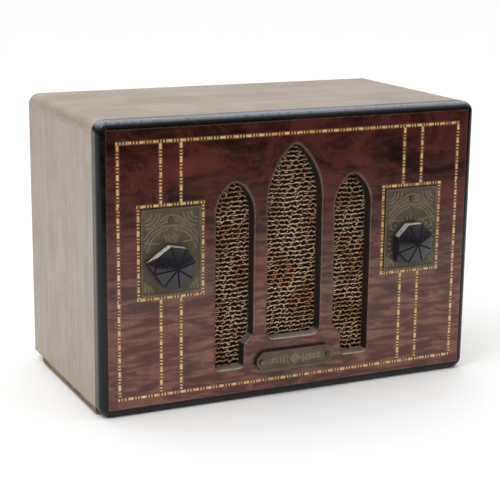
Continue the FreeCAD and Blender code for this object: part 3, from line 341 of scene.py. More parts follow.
# ---------------------------------------------------------------- material helpers
class Tree:
    """Adds shader nodes to a tree. An input takes a plain value or another node's output."""

    def __init__(self, tree):
        self.tree = tree

    def add(self, kind, inputs=None, **settings):
        node = self.tree.nodes.new("ShaderNode" + kind)
        for key, value in settings.items():
            setattr(node, key, value)
        for key, value in (inputs or {}).items():
            self.feed(node.inputs[key], value)
        return node

    def feed(self, socket, value):
        if isinstance(value, bpy.types.NodeSocket):
            self.tree.links.new(value, socket)
        else:
            socket.default_value = value

    def place(self, stretch=(1, 1, 1), turn=(0, 0, 0)):
        """Object coordinates in millimetres, divided by stretch along each axis."""
        point = self.add("TexCoord").outputs["Object"]
        scale = [1000 / s for s in stretch]
        return self.add("Mapping", {"Vector": point, "Scale": scale, "Rotation": turn}).outputs["Vector"]

    def noise(self, vector, scale=1.0, detail=4.0, rough=0.55, twist=0.0):
        return self.add("TexNoise", {"Vector": vector, "Scale": scale, "Detail": detail,
                                     "Roughness": rough, "Distortion": twist}).outputs["Fac"]

    def spots(self, vector, scale):
        return self.add("TexVoronoi", {"Vector": vector, "Scale": scale}).outputs["Distance"]

    def sum(self, operation, first, second=0.0, third=0.0, clamp=False):
        inputs = {0: first, 1: second, 2: third}
        return self.add("Math", inputs, operation=operation, use_clamp=clamp).outputs[0]

    def times(self, first, second, clamp=False):
        return self.sum("MULTIPLY", first, second, clamp=clamp)

    def span(self, value, low, high, to_low=0.0, to_high=1.0):
        """Maps low..high smoothly to to_low..to_high."""
        return self.add("MapRange", {"Value": value, "From Min": low, "From Max": high,
                                     "To Min": to_low, "To Max": to_high},
                        interpolation_type="SMOOTHSTEP").outputs["Result"]

    def blend(self, amount, first, second):
        return self.add("Mix", {0: amount, 6: first, 7: second}, data_type="RGBA").outputs[2]

    def mix_values(self, amount, first, second):
        return self.add("Mix", {0: amount, 2: first, 3: second}, data_type="FLOAT").outputs[0]

    def over(self, tone, mask, share, paint):
        """Lays a colour over a tone, where a mask is, at a share of the mask's strength."""
        return self.blend(self.times(mask, share), tone, paint)

    def shift(self, operation, vector, other):
        """Vector arithmetic. SCALE takes a number as its second value."""
        second = "Scale" if operation == "SCALE" else 1
        return self.add("VectorMath", {0: vector, second: other}, operation=operation).outputs["Vector"]

    def bump(self, height, distance, strength):
        inputs = {"Height": height, "Distance": distance, "Strength": strength}
        return self.add("Bump", inputs).outputs["Normal"]

    def axis(self, vector, name):
        return self.add("SeparateXYZ", {"Vector": vector}).outputs[name]

    def use(self, group, **inputs):
        """Places one of the shared groups, with its inputs by name, and returns its outputs."""
        named = {key.capitalize(): value for key, value in inputs.items()}
        return self.add("Group", named, node_tree=GROUPS[group]).outputs

    def mask(self, group, **inputs):
        return self.use(group, **inputs)["Mask"]


def shared_group(name, inputs, outputs):
    """A node group with a Place vector and float sockets; its tree helper, its inputs and its results."""
    group = bpy.data.node_groups.new(name, "ShaderNodeTree")
    group.interface.new_socket("Place", in_out="INPUT", socket_type="NodeSocketVector")
    for label, default in inputs.items():
        socket = group.interface.new_socket(label, in_out="INPUT", socket_type="NodeSocketFloat")
        socket.default_value = default
    for label in outputs:
        group.interface.new_socket(label, in_out="OUTPUT", socket_type="NodeSocketFloat")
    given, result = group.nodes.new("NodeGroupInput"), group.nodes.new("NodeGroupOutput")
    return group, Tree(group), given.outputs, result.inputs


def make_edge_wear():
    """Where convex edges have been rubbed, broken up by noise."""
    group, tree, given, result = shared_group(
        "Edge wear", {"Width": 0.0008, "Breaks": 0.35}, ["Mask"])
    rounded = tree.add("Bevel", {"Radius": given["Width"]}, samples=6).outputs["Normal"]
    flat = tree.add("NewGeometry").outputs["Normal"]
    facing = tree.add("VectorMath", {0: rounded, 1: flat}, operation="DOT_PRODUCT").outputs["Value"]
    edge = tree.span(facing, 0.995, 0.85)
    broken = tree.noise(given["Place"], 0.45, 6, 0.7)
    low = tree.sum("SUBTRACT", given["Breaks"], 0.12)
    high = tree.sum("ADD", given["Breaks"], 0.22)
    mask = tree.times(edge, tree.span(broken, low, high))
    tree.feed(result["Mask"], mask)
    return group


def make_grime_and_shade():
    """Dirt, and painted shade, in corners, in recesses and under edges, found by ambient occlusion."""
    group, tree, given, result = shared_group("Grime", {"Reach": 0.004}, ["Mask"])
    open_sky = tree.add("AmbientOcclusion", {"Distance": given["Reach"]}, samples=8).outputs["AO"]
    closed = tree.span(open_sky, 0.95, 0.35)
    patchy = tree.span(tree.noise(given["Place"], 0.3, 5, 0.6), 0.3, 0.6, 0.35, 1.0)
    tree.feed(result["Mask"], tree.times(closed, patchy))
    return group


def make_wood_grain():
    """Fibres, dark pores and slow colour streaks that run along the Place vector's X."""
    group, tree, given, result = shared_group(
        "Wood grain", {"Fibre": 1.0, "Wander": 0.6}, ["Streaks", "Fibres", "Pores"])
    place = given["Place"]
    drift = tree.add("TexNoise", {"Vector": place, "Scale": 0.012, "Detail": 2.0}).outputs["Color"]
    pushed = tree.shift("SUBTRACT", drift, (0.5, 0.5, 0.5))
    pushed = tree.shift("SCALE", pushed, given["Wander"])
    pushed = tree.shift("SCALE", pushed, 14.0)
    place = tree.shift("ADD", place, pushed)

    def along(ratio):
        return tree.shift("MULTIPLY", place, (1 / ratio, 1, 1))

    streaks = tree.noise(along(22), 0.11, 5, 0.6)
    fibre_scale = tree.times(given["Fibre"], 1.6)
    fibres = tree.noise(along(30), fibre_scale, 3, 0.65)
    pore_scale = tree.times(given["Fibre"], 1.15)
    pores = tree.span(tree.noise(along(16), pore_scale, 2, 0.5), 0.34, 0.27)
    tree.feed(result["Streaks"], streaks)
    tree.feed(result["Fibres"], fibres)
    tree.feed(result["Pores"], pores)
    return group


def make_hand_marks():
    """Small dents, specks and fine scratches, for old finishes."""
    group, tree, given, result = shared_group(
        "Hand marks", {"Amount": 0.5}, ["Specks", "Dents", "Scratches"])
    place = given["Place"]
    spots = tree.spots(place, 0.16)
    chance = tree.noise(place, 0.05, 3, 0.6)
    size = tree.times(given["Amount"], tree.span(chance, 0.5, 0.75, 0.0, 0.16))
    tree.feed(result["Specks"], tree.sum("LESS_THAN", spots, size))
    dents = tree.span(tree.spots(place, 0.045), 0.0, 0.13, 1.0, 0.0)
    tree.feed(result["Dents"], tree.times(dents, tree.span(chance, 0.45, 0.6)))
    scratch = {"Vector": place, "Rotation": (0.3, 0.5, 0.7), "Scale": (0.02, 1.3, 1.3)}
    slant = tree.add("Mapping", scratch).outputs["Vector"]
    lines = tree.span(tree.noise(slant, 1.0, 2, 0.5), 0.70, 0.74)
    tree.feed(result["Scratches"], tree.times(lines, given["Amount"]))
    return group


def make_metal_age():
    """Cloudy tarnish and fine grain for plated and turned metal."""
    group, tree, given, result = shared_group("Metal age", {"Cloud": 0.08}, ["Tarnish", "Grain"])
    place = given["Place"]
    cloudy = tree.noise(place, given["Cloud"], 7, 0.6, 0.2)
    tree.feed(result["Tarnish"], tree.span(cloudy, 0.34, 0.74))
    tree.feed(result["Grain"], tree.noise(place, 3.2, 2, 0.6))
    return group


def make_ledge_highlight():
    """Painted highlight: a pale colour on faces that point up, where the top light falls, broken up by noise.
    """
    group, tree, given, result = shared_group("Ledge dust", {"Amount": 0.8}, ["Mask"])
    upward = tree.axis(tree.add("NewGeometry").outputs["Normal"], "Z")
    ledge = tree.span(upward, 0.4, 0.85)
    patchy = tree.span(tree.noise(given["Place"], 0.5, 5, 0.65), 0.3, 0.55, 0.45, 1.0)
    mask = tree.times(tree.times(ledge, patchy), given["Amount"])
    tree.feed(result["Mask"], mask)
    return group


def make_weave():
    """An over-and-under weave from the sines of two directions of Place."""
    group, tree, given, result = shared_group("Weave", {"Pitch": 0.7}, ["Height", "Over"])
    parts = tree.add("SeparateXYZ", {"Vector": given["Place"]})
    turn = tree.sum("DIVIDE", math.pi, given["Pitch"])
    first = tree.sum("SINE", tree.times(parts.outputs["X"], turn))
    second = tree.sum("SINE", tree.times(parts.outputs["Z"], turn))
    product = tree.times(first, second)
    tree.feed(result["Over"], tree.span(product, -0.3, 0.3))
    high = tree.sum("MAXIMUM", tree.sum("ABSOLUTE", first), tree.sum("ABSOLUTE", second))
    tree.feed(result["Height"], high)
    return group


GROUPS = {}


def make_groups():
    GROUPS.update(edge=make_edge_wear(), grime=make_grime_and_shade(), grain=make_wood_grain(), marks=make_hand_marks(),
                  metal=make_metal_age(), weave=make_weave(), dust=make_ledge_highlight())


class Recipe(Tree):
    """A new material with the given constants on its Principled shader."""

    def __init__(self, name, **constants):
        self.material = bpy.data.materials.new(name)
        self.material.use_nodes = True
        super().__init__(self.material.node_tree)
        self.shader = self.tree.nodes["Principled BSDF"]
        for key, value in constants.items():
            self.shader.inputs[key.replace("_", " ")].default_value = value

    def done(self, tone, height, distance, strength, rough=None):
        """Connects the colour, the fine relief and, if it varies, the roughness."""
        self.feed(self.shader.inputs["Base Color"], tone)
        self.feed(self.shader.inputs["Normal"], self.bump(height, distance, strength))
        if rough:
            self.feed(self.shader.inputs["Roughness"], rough)
        return self.material


# ---------------------------------------------------------------- cabinet materials
def figured_veneer(settings):
    """Mottled red-brown veneer under old satin varnish, rubbed pale along the edges of the arches."""
    tree = Recipe("figured_veneer", IOR=1.54)
    place = tree.place()
    upright = tree.place(turn=(0, math.radians(90), 0))
    grain = tree.use("grain", place=upright, fibre=0.8, wander=1.0)
    mottle = tree.noise(tree.place(stretch=(52, 52, 38)), 1.0, 7, 0.72, 0.8)
    ripple_place = tree.place(stretch=(22, 22, 4.2))
    ripple = tree.noise(ripple_place, 1.0, 3, 0.5, 0.8)
    height = tree.axis(place, "Z")
    # Painted light: the veneer turns warmer and lighter towards the bottom of the front, for the floor's
    # light on its lower part.
    painted_floor_light = tree.span(height, 150, 40)
    warm = tree.sum("MAXIMUM", tree.span(mottle, 0.36, 0.64), tree.times(painted_floor_light, 0.75))
    tone = tree.blend(warm, settings.veneer_dark, settings.veneer_red)
    rippled = tree.times(tree.span(ripple, 0.4, 0.66), tree.sum("MULTIPLY_ADD", painted_floor_light, 0.82, 0.08))
    tone = tree.blend(rippled, tone, settings.veneer_light)
    streaked = tree.span(grain["Streaks"], 0.35, 0.7, 0.0, 0.3)
    tone = tree.blend(streaked, tone, settings.veneer_dark)
    tone = tree.over(tone, grain["Pores"], 0.5, colour(28, 12, 9))
    worn = tree.mask("edge", place=place, width=settings.wear_width, breaks=0.42)
    tone = tree.over(tone, worn, 0.5, colour(150, 120, 98))
    # Painted shade: near-black laid in corners and recesses, as round the nameplate and the arches.
    dirt = tree.mask("grime", place=place, reach=0.004)
    tone = tree.over(tone, dirt, 0.9, colour(14, 8, 7))
    # Painted highlight: pale cream on faces that point up, such as the lower rims of the arches, where the
    # top light falls.
    dust = tree.mask("dust", place=place, amount=0.8)
    tone = tree.blend(dust, tone, colour(204, 188, 168))
    rough = tree.span(mottle, 0.3, 0.7, 0.2, 0.34)
    bumps = tree.sum("MULTIPLY_ADD", grain["Pores"], -0.6, tree.times(ripple, 0.8))
    return tree.done(tone, bumps, 0.0001, 0.6, rough)


def faded_wood(name, settings, turn, pinkness, wander):
    """Wood whose finish has faded and dried, with its grain along the turned X axis."""
    tree = Recipe(name, Coat_Weight=0.1, Coat_Roughness=0.35)
    place = tree.place(turn=turn)
    grain = tree.use("grain", place=place, fibre=0.55, wander=wander)
    marks = tree.use("marks", place=place, amount=0.8)
    cloudy = tree.noise(place, 0.03, 4, 0.6)
    streaks = tree.span(grain["Streaks"], 0.3, 0.7)
    streaks = tree.mix_values(0.5, streaks, tree.span(cloudy, 0.35, 0.65))
    tone = tree.blend(streaks, settings.faded_dark, settings.faded_light)
    pink = tree.noise(tree.shift("MULTIPLY", place, (0.02, 0.3, 0.3)), 1.0, 4, 0.6)
    tone = tree.blend(tree.span(pink, 0.58, 0.72, 0.0, pinkness), tone, settings.faded_pink)
    fine = tree.span(grain["Fibres"], 0.42, 0.75, 0.0, 0.6)
    tone = tree.blend(fine, tone, settings.faded_dark)
    tone = tree.over(tone, grain["Pores"], 0.55, colour(112, 88, 72))
    tone = tree.over(tone, marks["Specks"], 0.6, colour(108, 66, 50))
    tone = tree.over(tone, marks["Scratches"], 0.4, colour(226, 214, 200))
    worn = tree.mask("edge", place=place, width=0.001, breaks=0.45)
    tone = tree.over(tone, worn, 0.6, colour(96, 70, 52))
    rough = tree.span(grain["Fibres"], 0.3, 0.8, 0.42, 0.62)
    bumps = tree.sum("MULTIPLY_ADD", grain["Pores"], -0.7, grain["Fibres"])
    bumps = tree.sum("MULTIPLY_ADD", marks["Dents"], -1.6, bumps)
    return tree.done(tone, bumps, 0.00014, 0.8, rough)


def black_lacquer(settings):
    """Black lacquer with a bloom of fine scratches, rubbed through along its outer edges."""
    tree = Recipe("black_lacquer", IOR=1.36)
    place = tree.place()
    marks = tree.use("marks", place=place, amount=1.0)
    cloud = tree.noise(tree.place(stretch=(40, 8, 8)), 1.0, 6, 0.7, 0.4)
    worn = tree.mask("edge", place=place, width=0.0022, breaks=0.55)
    tone = tree.blend(tree.span(cloud, 0.5, 0.75, 0.0, 0.25), settings.lacquer, colour(52, 46, 50))
    tone = tree.over(tone, marks["Specks"], 0.8, settings.lacquer_worn)
    tone = tree.over(tone, worn, 0.12, settings.lacquer_worn)
    # Painted highlight: pale blue-grey on the upward faces of the mouldings, for the top light's reflection.
    dust = tree.mask("dust", place=place, amount=0.8)
    tone = tree.blend(dust, tone, colour(142, 145, 152))
    rough = tree.span(cloud, 0.35, 0.7, 0.16, 0.34)
    bumps = tree.sum("MULTIPLY_ADD", marks["Dents"], -1.0, cloud)
    return tree.done(tone, bumps, 0.00012, 0.5, rough)


def ebonised_core():
    """Plywood whose arch walls are stained black, while its back is bare."""
    tree = Recipe("ebonised_core", Roughness=0.62)
    place = tree.place()
    rear = tree.sum("GREATER_THAN", tree.axis(place, "Y"), (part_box("front_panel")[1][1] / MM) - 0.05)
    grain = tree.use("grain", place=place, fibre=0.8, wander=0.6)
    streaks = tree.span(grain["Streaks"], 0.35, 0.65)
    bare = tree.blend(streaks, colour(120, 84, 52), colour(158, 120, 80))
    plies = tree.sum("SINE", tree.times(tree.axis(place, "Y"), 2.6))
    walls = tree.blend(tree.span(plies, -0.4, 0.6, 0.0, 0.5), colour(22, 17, 15), colour(44, 34, 29))
    worn = tree.mask("edge", place=place, width=0.0012, breaks=0.45)
    walls = tree.over(walls, worn, 0.6, colour(150, 124, 100))
    # Painted highlight: pale cream on the upward ledges of the arch walls, where the top light falls.
    dust = tree.mask("dust", place=place, amount=0.35)
    walls = tree.blend(dust, walls, colour(214, 200, 180))
    return tree.done(tree.blend(rear, walls, bare), grain["Fibres"], 0.00015, 0.6)


def inlay_banding(settings):
    """Light and dark blocks along each strip: one long block, then two short ones."""
    tree = Recipe("inlay_banding", Coat_Weight=0.3, Coat_Roughness=0.2, Roughness=0.4)
    place = tree.place()
    across, up = tree.axis(place, "X"), tree.axis(place, "Z")
    low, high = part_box("inlay_border")
    half = BAND / 2
    level_rows = [low[2] / MM + half, high[2] / MM - half] + [z / MM for z in plate_band_heights()]
    level_gap = nearest(tree, up, level_rows)
    upright_gap = nearest(tree, tree.sum("ABSOLUTE", across), upright_bands())
    level = tree.sum("LESS_THAN", level_gap, half + 0.02)
    along = tree.mix_values(level, up, across)
    from_middle = tree.mix_values(level, upright_gap, level_gap)
    wobble = tree.times(tree.noise(place, 0.2, 2, 0.5), 0.5)
    step = tree.sum("FRACT", tree.sum("DIVIDE", tree.sum("ADD", along, wobble), settings.repeat / MM))
    position = tree.times(step, settings.repeat / MM)
    gap = (settings.repeat - settings.long_block - 2 * settings.short_block) / 3 / MM
    long_end, short_block = settings.long_block / MM, settings.short_block / MM
    light = 0.0
    for first, last in ((0, long_end), (long_end + gap, long_end + gap + short_block),
                        (long_end + 2 * gap + short_block, long_end + 2 * gap + 2 * short_block)):
        rise = tree.span(position, first - 0.08, first + 0.12)
        fall = tree.span(position, last + 0.08, last - 0.12)
        light = tree.sum("MAXIMUM", light, tree.times(rise, fall))
    amber = tree.span(tree.noise(place, 0.35, 5, 0.65), 0.42, 0.62)
    pale = tree.blend(amber, settings.light, settings.amber)
    tone = tree.blend(light, settings.dark, pale)
    fine = tree.noise(place, 1.4, 4, 0.6)
    tone = tree.blend(tree.span(fine, 0.5, 0.8, 0.0, 0.5), tone, colour(150, 92, 40))
    outline = tree.span(tree.sum("MULTIPLY_ADD", fine, 0.3, from_middle), 0.72, 1.0)
    tone = tree.over(tone, outline, 0.85, settings.varnish)
    # Dirt and painted shade: darker brown where occlusion finds corners.
    dirt = tree.mask("grime", place=place, reach=0.002)
    tone = tree.over(tone, dirt, 0.5, colour(60, 34, 18))
    return tree.done(tone, tree.sum("MULTIPLY_ADD", light, 0.5, fine), 0.00008, 0.6)


def nearest(tree, value, middles):
    """The distance from a value to the nearest of some fixed numbers."""
    gap = tree.sum("ABSOLUTE", tree.sum("SUBTRACT", value, middles[0]))
    for middle in middles[1:]:
        gap = tree.sum("MINIMUM", gap, tree.sum("ABSOLUTE", tree.sum("SUBTRACT", value, middle)))
    return gap


def upright_bands():
    """The middles of the upright bands on the right half: frame, stripes and border, in millimetres."""
    low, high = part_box("tuning_escutcheon")
    middle, half_frame = (low[0] + high[0]) / 2 / MM, (high[0] - low[0]) / 2 / MM + 1.5
    stripe = 6.45       # from the plate's middle to the stripes above and below it
    return [middle - half_frame, middle - stripe, middle + stripe, middle + half_frame,
            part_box("inlay_border")[1][0] / MM - BAND / 2]


def plate_band_heights():
    """The middles of the level bands above and below each plate."""
    low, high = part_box("volume_escutcheon")
    margin = 1.8 * MM       # from the plate's edge to the middle of the band
    return low[2] - margin, high[2] + margin


def raw_wood(name, light, dark, turn=(0, 0, 0)):
    """Bare, sawn wood."""
    tree = Recipe(name, Roughness=0.75)
    place = tree.place(turn=turn)
    grain = tree.use("grain", place=place, fibre=0.6, wander=1.2)
    tone = tree.blend(tree.span(grain["Streaks"], 0.32, 0.68), dark, light)
    tone = tree.over(tone, grain["Pores"], 0.4, dark)
    # Dirt and painted shade: darker brown where occlusion finds corners.
    dirt = tree.mask("grime", place=place, reach=0.012)
    tone = tree.over(tone, dirt, 0.6, colour(52, 38, 28))
    return tree.done(tone, grain["Fibres"], 0.0002, 0.8)


# ---------------------------------------------------------------- metal and other materials
def aged_metal(name, base, tarnished, rough=(0.3, 0.5), metallic=1.0, cloud=0.08, wear=None, dirt=0.5):
    """Plated, painted or turned metal with cloudy tarnish, dirt and painted shade in its corners, and rubbed
    edges.
    """
    tree = Recipe(name, Metallic=metallic)
    place = tree.place()
    age = tree.use("metal", place=place, cloud=cloud)
    tone = tree.blend(age["Tarnish"], base, tarnished)
    if wear:
        worn = tree.mask("edge", place=place, width=0.0004, breaks=0.35)
        tone = tree.over(tone, worn, 0.8, wear)
    # Dirt and painted shade: near-black where occlusion finds corners, by the given amount.
    grime = tree.mask("grime", place=place, reach=0.003)
    tone = tree.blend(tree.times(grime, dirt), tone, colour(24, 20, 17))
    rough = tree.span(age["Tarnish"], 0.0, 1.0, rough[0], rough[1])
    return tree.done(tone, age["Grain"], 0.00003, 0.5, rough)


def stamped_bronze(settings):
    """Olive bronze with patina and painted shade in its hollows, and rubbed high spots."""
    tree = Recipe("stamped_bronze", Metallic=0.75)
    place = tree.place()
    age = tree.use("metal", place=place, cloud=0.16)
    tone = tree.blend(age["Tarnish"], settings.bronze, colour(84, 82, 70))
    # Patina and painted shade: dark in the hollows found by occlusion, deepening the relief.
    dirt = tree.mask("grime", place=place, reach=0.0009)
    tone = tree.blend(tree.times(dirt, 1.6, clamp=True), tone, settings.bronze_dark)
    worn = tree.mask("edge", place=place, width=0.0006, breaks=0.3)
    tone = tree.over(tone, worn, 0.72, settings.bronze_bright)
    rough = tree.span(age["Tarnish"], 0.0, 1.0, 0.38, 0.56)
    return tree.done(tone, age["Grain"], 0.00006, 0.7, rough)


def moulded_resin(name, body, worn, gloss=0.2, ledge=0.0):
    """Dark moulded resin, polished by hands, with worn edges and a trace of marbling."""
    tree = Recipe(name, Coat_Weight=0.15, Coat_Roughness=0.08, IOR=1.5)
    place = tree.place()
    marble = tree.noise(place, 0.14, 6, 0.6, 2.0)
    tone = tree.blend(tree.span(marble, 0.4, 0.7, 0.0, 0.5), body, tuple(0.45 * c for c in body[:3]) + (1,))
    rubbed = tree.mask("edge", place=place, width=0.0005, breaks=0.35)
    tone = tree.over(tone, rubbed, 0.35, worn)
    # Dirt and painted shade: near-black where occlusion finds creases, such as between the knobs' facets.
    dirt = tree.mask("grime", place=place, reach=0.0016)
    tone = tree.over(tone, dirt, 0.9, colour(10, 8, 9))
    # Painted highlight: pale on faces that point up, where the top light falls.
    if ledge:
        dust = tree.mask("dust", place=place, amount=ledge)
        tone = tree.blend(dust, tone, colour(206, 200, 194))
    smudge = tree.noise(place, 0.35, 6, 0.7)
    rough = tree.span(smudge, 0.3, 0.7, gloss, gloss + 0.16)
    return tree.done(tone, smudge, 0.00004, 0.4, rough)


def wavy_cloth(settings):
    """Black ground weave with raised gold rows, read from the mesh's own thread height."""
    tree = Recipe("wavy_cloth", IOR=1.25)
    place = tree.place()
    thread = tree.add("Attribute", attribute_name="thread", attribute_type="GEOMETRY").outputs["Fac"]
    weave = tree.use("weave", place=place, pitch=0.55)
    frayed = tree.noise(place, 1.3, 4, 0.7)
    worn_thread = tree.sum("MULTIPLY_ADD", frayed, 0.8, thread)
    mask = tree.span(worn_thread, 0.76, 1.0)
    halo = tree.span(worn_thread, 0.56, 0.9)
    patch = tree.span(tree.noise(place, 0.055, 3, 0.55, 0.5), 0.46, 0.62)
    gold = tree.blend(patch, settings.gold, settings.orange)
    bright = tree.span(tree.noise(place, 0.9, 3, 0.65), 0.34, 0.62, 0.25, 1.0)
    gold = tree.blend(bright, tuple(0.4 * c for c in settings.gold[:3]) + (1,), gold)
    ground = tree.blend(weave["Over"], settings.ground, colour(27, 17, 11))
    ground = tree.blend(halo, ground, colour(92, 60, 38))
    tree.feed(tree.shader.inputs["Metallic"], tree.times(mask, 0.1))
    rough = tree.span(mask, 0, 1, 0.9, 0.45)
    height = tree.sum("MULTIPLY_ADD", weave["Height"], 0.4, frayed)
    return tree.done(tree.blend(mask, ground, gold), height, 0.0003, 0.8, rough)


def woven(name, light, dark, pitch):
    """Plain woven or braided cotton."""
    tree = Recipe(name, Roughness=0.85, Sheen_Weight=0.2)
    place = tree.place()
    weave = tree.use("weave", place=place, pitch=pitch)
    dirty = tree.noise(place, 0.1, 5, 0.6)
    tone = tree.blend(weave["Over"], dark, light)
    tone = tree.blend(tree.span(dirty, 0.45, 0.7, 0.0, 0.6), tone, dark)
    return tree.done(tone, weave["Height"], 0.0002, 0.9)


def pressed_fibre(name, light, dark, scale=1.4, rough=0.85):
    """Felt, paper, card or fibreboard: short matted fibres and soft stains."""
    tree = Recipe(name, Roughness=rough)
    place = tree.place()
    fibres = tree.noise(place, scale, 5, 0.75, 1.0)
    stains = tree.noise(place, 0.06, 4, 0.6)
    tone = tree.blend(tree.span(fibres, 0.35, 0.65), dark, light)
    tone = tree.blend(tree.span(stains, 0.5, 0.72, 0.0, 0.5), tone, dark)
    # Dirt and painted shade: near-black where occlusion finds corners.
    dirt = tree.mask("grime", place=place, reach=0.006)
    tone = tree.over(tone, dirt, 0.5, colour(20, 16, 13))
    return tree.done(tone, fibres, 0.00025, 0.7)


def clear_glass():
    """Thin blown glass, a little dusty on the outside."""
    tree = Recipe("clear_glass", Transmission_Weight=1.0, IOR=1.46, Metallic=0.0)
    place = tree.place()
    dust = tree.noise(place, 0.25, 6, 0.65)
    tone = tree.blend(tree.span(dust, 0.4, 0.8), colour(248, 250, 248), colour(226, 228, 222))
    tree.feed(tree.shader.inputs["Roughness"], tree.span(dust, 0.45, 0.8, 0.02, 0.16))
    tree.feed(tree.shader.inputs["Base Color"], tone)
    return tree.material


def wound_wire(name, bright, dark, pitch, axis):
    """Fine enamelled wire, wound in turns along an axis."""
    tree = Recipe(name, Metallic=0.4, Roughness=0.4)
    place = tree.place()
    turns = tree.sum("SINE", tree.times(tree.axis(place, axis), 2 * math.pi / pitch))
    patchy = tree.noise(place, 0.12, 5, 0.6)
    tone = tree.blend(tree.span(turns, -0.8, 0.6), dark, bright)
    tone = tree.blend(tree.span(patchy, 0.45, 0.7, 0.0, 0.5), tone, dark)
    return tree.done(tone, turns, 0.0001, 0.8)


def stacked_iron():
    """Varnished transformer laminations, stacked along Y."""
    tree = Recipe("stacked_iron", Metallic=0.7)
    place = tree.place()
    sheets = tree.sum("SINE", tree.times(tree.axis(place, "Y"), 2 * math.pi / 0.7))
    rust = tree.noise(place, 0.2, 7, 0.7)
    tone = tree.blend(tree.span(sheets, -0.6, 0.6), colour(40, 36, 33), colour(92, 86, 80))
    tone = tree.blend(tree.span(rust, 0.5, 0.7, 0.0, 0.7), tone, colour(104, 62, 36))
    rough = tree.span(rust, 0.3, 0.7, 0.4, 0.8)
    return tree.done(tone, sheets, 0.00015, 0.7, rough)


# ---------------------------------------------------------------- front pieces
def stamped_plate(name, width, height, thickness, settings, lines):
    """A plate with a raised rim and stamped lines, drawn flat with its back at Z = 0."""
    plate = flat_slab(name, width, height, thickness)
    corner, slope, rounding = 1.0 * MM, 0.25 * MM, 0.16 * MM
    sunken_front(plate, thickness, corner, 4, settings.rim, slope, settings.relief, rounding)
    relief = ribs(name + "_lines", lines, settings.line, settings.relief / settings.line)
    return raised(name, plate, relief, thickness - settings.relief)


def sunken_front(plate, thickness, corner, segments, rim, slope, sink, rounding):
    """Cuts a plate's corners off, sinks its front inside a rim, and rounds its edges a little."""
    pick(plate, "edges", lambda e: abs(e.verts[0].co.z - e.verts[1].co.z) > thickness / 2)
    bpy.ops.mesh.bevel(offset=corner, segments=segments)
    pick(plate, "faces", lambda f: f.normal.z > 0.9)
    bpy.ops.mesh.inset(thickness=rim, depth=0)
    bpy.ops.mesh.inset(thickness=slope, depth=-sink)
    bpy.ops.object.mode_set(mode="OBJECT")
    soften(plate, rounding)


def raised(name, plate, relief, height):
    """Sets stamped lines on a plate's sunken front and joins them to it."""
    relief.location = (0, 0, height)
    take(relief)
    bpy.ops.object.transform_apply(location=True)
    smooth(relief, 60)
    return join(name, [plate, relief])


def shared_plate_lines(width, height):
    """Rings of an arch round the pin and wide fans beside it, for a plate's size in millimetres."""
    half, top = width / 2 - 2.2, height / 2 - 2.4
    lines = [arc(0, 12.5, radius, 8, 90, 10) for radius in (7.6, 9.4)]
    lines.append(arc(0, 12.5, 3.2, 0, 90, 8))
    for radius in (15.5, 17.6, 19.7):
        reach = math.degrees(math.acos(min(1, half / radius)))
        rise = math.degrees(math.asin(min(1, (top + 1.5) / radius)))
        lines.append(arc(0, -1.5, radius, max(reach, 8), min(rise, 84), 10))
    for k in range(3):
        lines.append(arc(half, top, 4.5 + 2.4 * k, 183, 267 - 2 * k, 8))
    for k in range(3):
        lines.append([(half - 0.2 - 2.3 * k, -top + 0.4), (half - 0.2 - 1.3 * k, -top + 6.0 - k)])
    lines.append([(7.5, 5.2), (half, 6.4)])
    return mirrored(lines)


def volume_plate_lines(width, height, knob_drop):
    """Upright rays over the knob."""
    lines = shared_plate_lines(width, height)
    base = 14.2 - knob_drop
    for k in range(-2, 3):
        lines.append([(1.5 * k, base), (1.9 * k, base + 6.2 - 0.9 * abs(k))])
    return lines


def tuning_plate_lines(width, height, knob_drop):
    """A scale of ticks round the knob."""
    lines = shared_plate_lines(width, height)
    ticks = 21
    for k in range(ticks):
        angle = math.radians(-24 + 228 * k / (ticks - 1))
        long_tick = k % 5 == 0
        inner, outer = 14.6, (18.0 if long_tick else 16.4)
        if abs(outer * math.cos(angle)) < width / 2 - 1.8:
            lines.append([(r * math.cos(angle), -knob_drop + r * math.sin(angle)) for r in (inner, outer)])
    return lines


class RADIO_OT_escutcheons(bpy.types.Operator):
    """Model the two stamped plates behind the knobs"""
    bl_idname = "radio.escutcheons"
    bl_label = "Escutcheons"

    def execute(self, context):
        settings = context.scene.radio_plates
        bronze = stamped_bronze(settings)
        for name, lines_for in (("volume", volume_plate_lines), ("tuning", tuning_plate_lines)):
            low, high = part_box(name + "_escutcheon")
            width, height, thickness = high[0] - low[0], high[2] - low[2], high[1] - low[1]
            middle = Vector(((low[0] + high[0]) / 2, high[1], (low[2] + high[2]) / 2))
            shaft_low, shaft_high = CONTROLS[name]
            knob_drop = (middle.z - (shaft_low[2] + shaft_high[2]) / 2) / MM
            lines = lines_for(width / MM, height / MM, knob_drop)
            plate = stamped_plate(name + "_plate", width, height, thickness, settings, lines)
            stand_up(plate, middle)
            place_piece(plate, "cabinet", bronze, name + "_escutcheon", slot="bronze_plate")
        brass = aged_metal("pin_brass", colour(120, 104, 78), colour(78, 66, 50), wear=colour(196, 176, 136))
        dress(brass, "plate_pins")
        return {"FINISHED"}


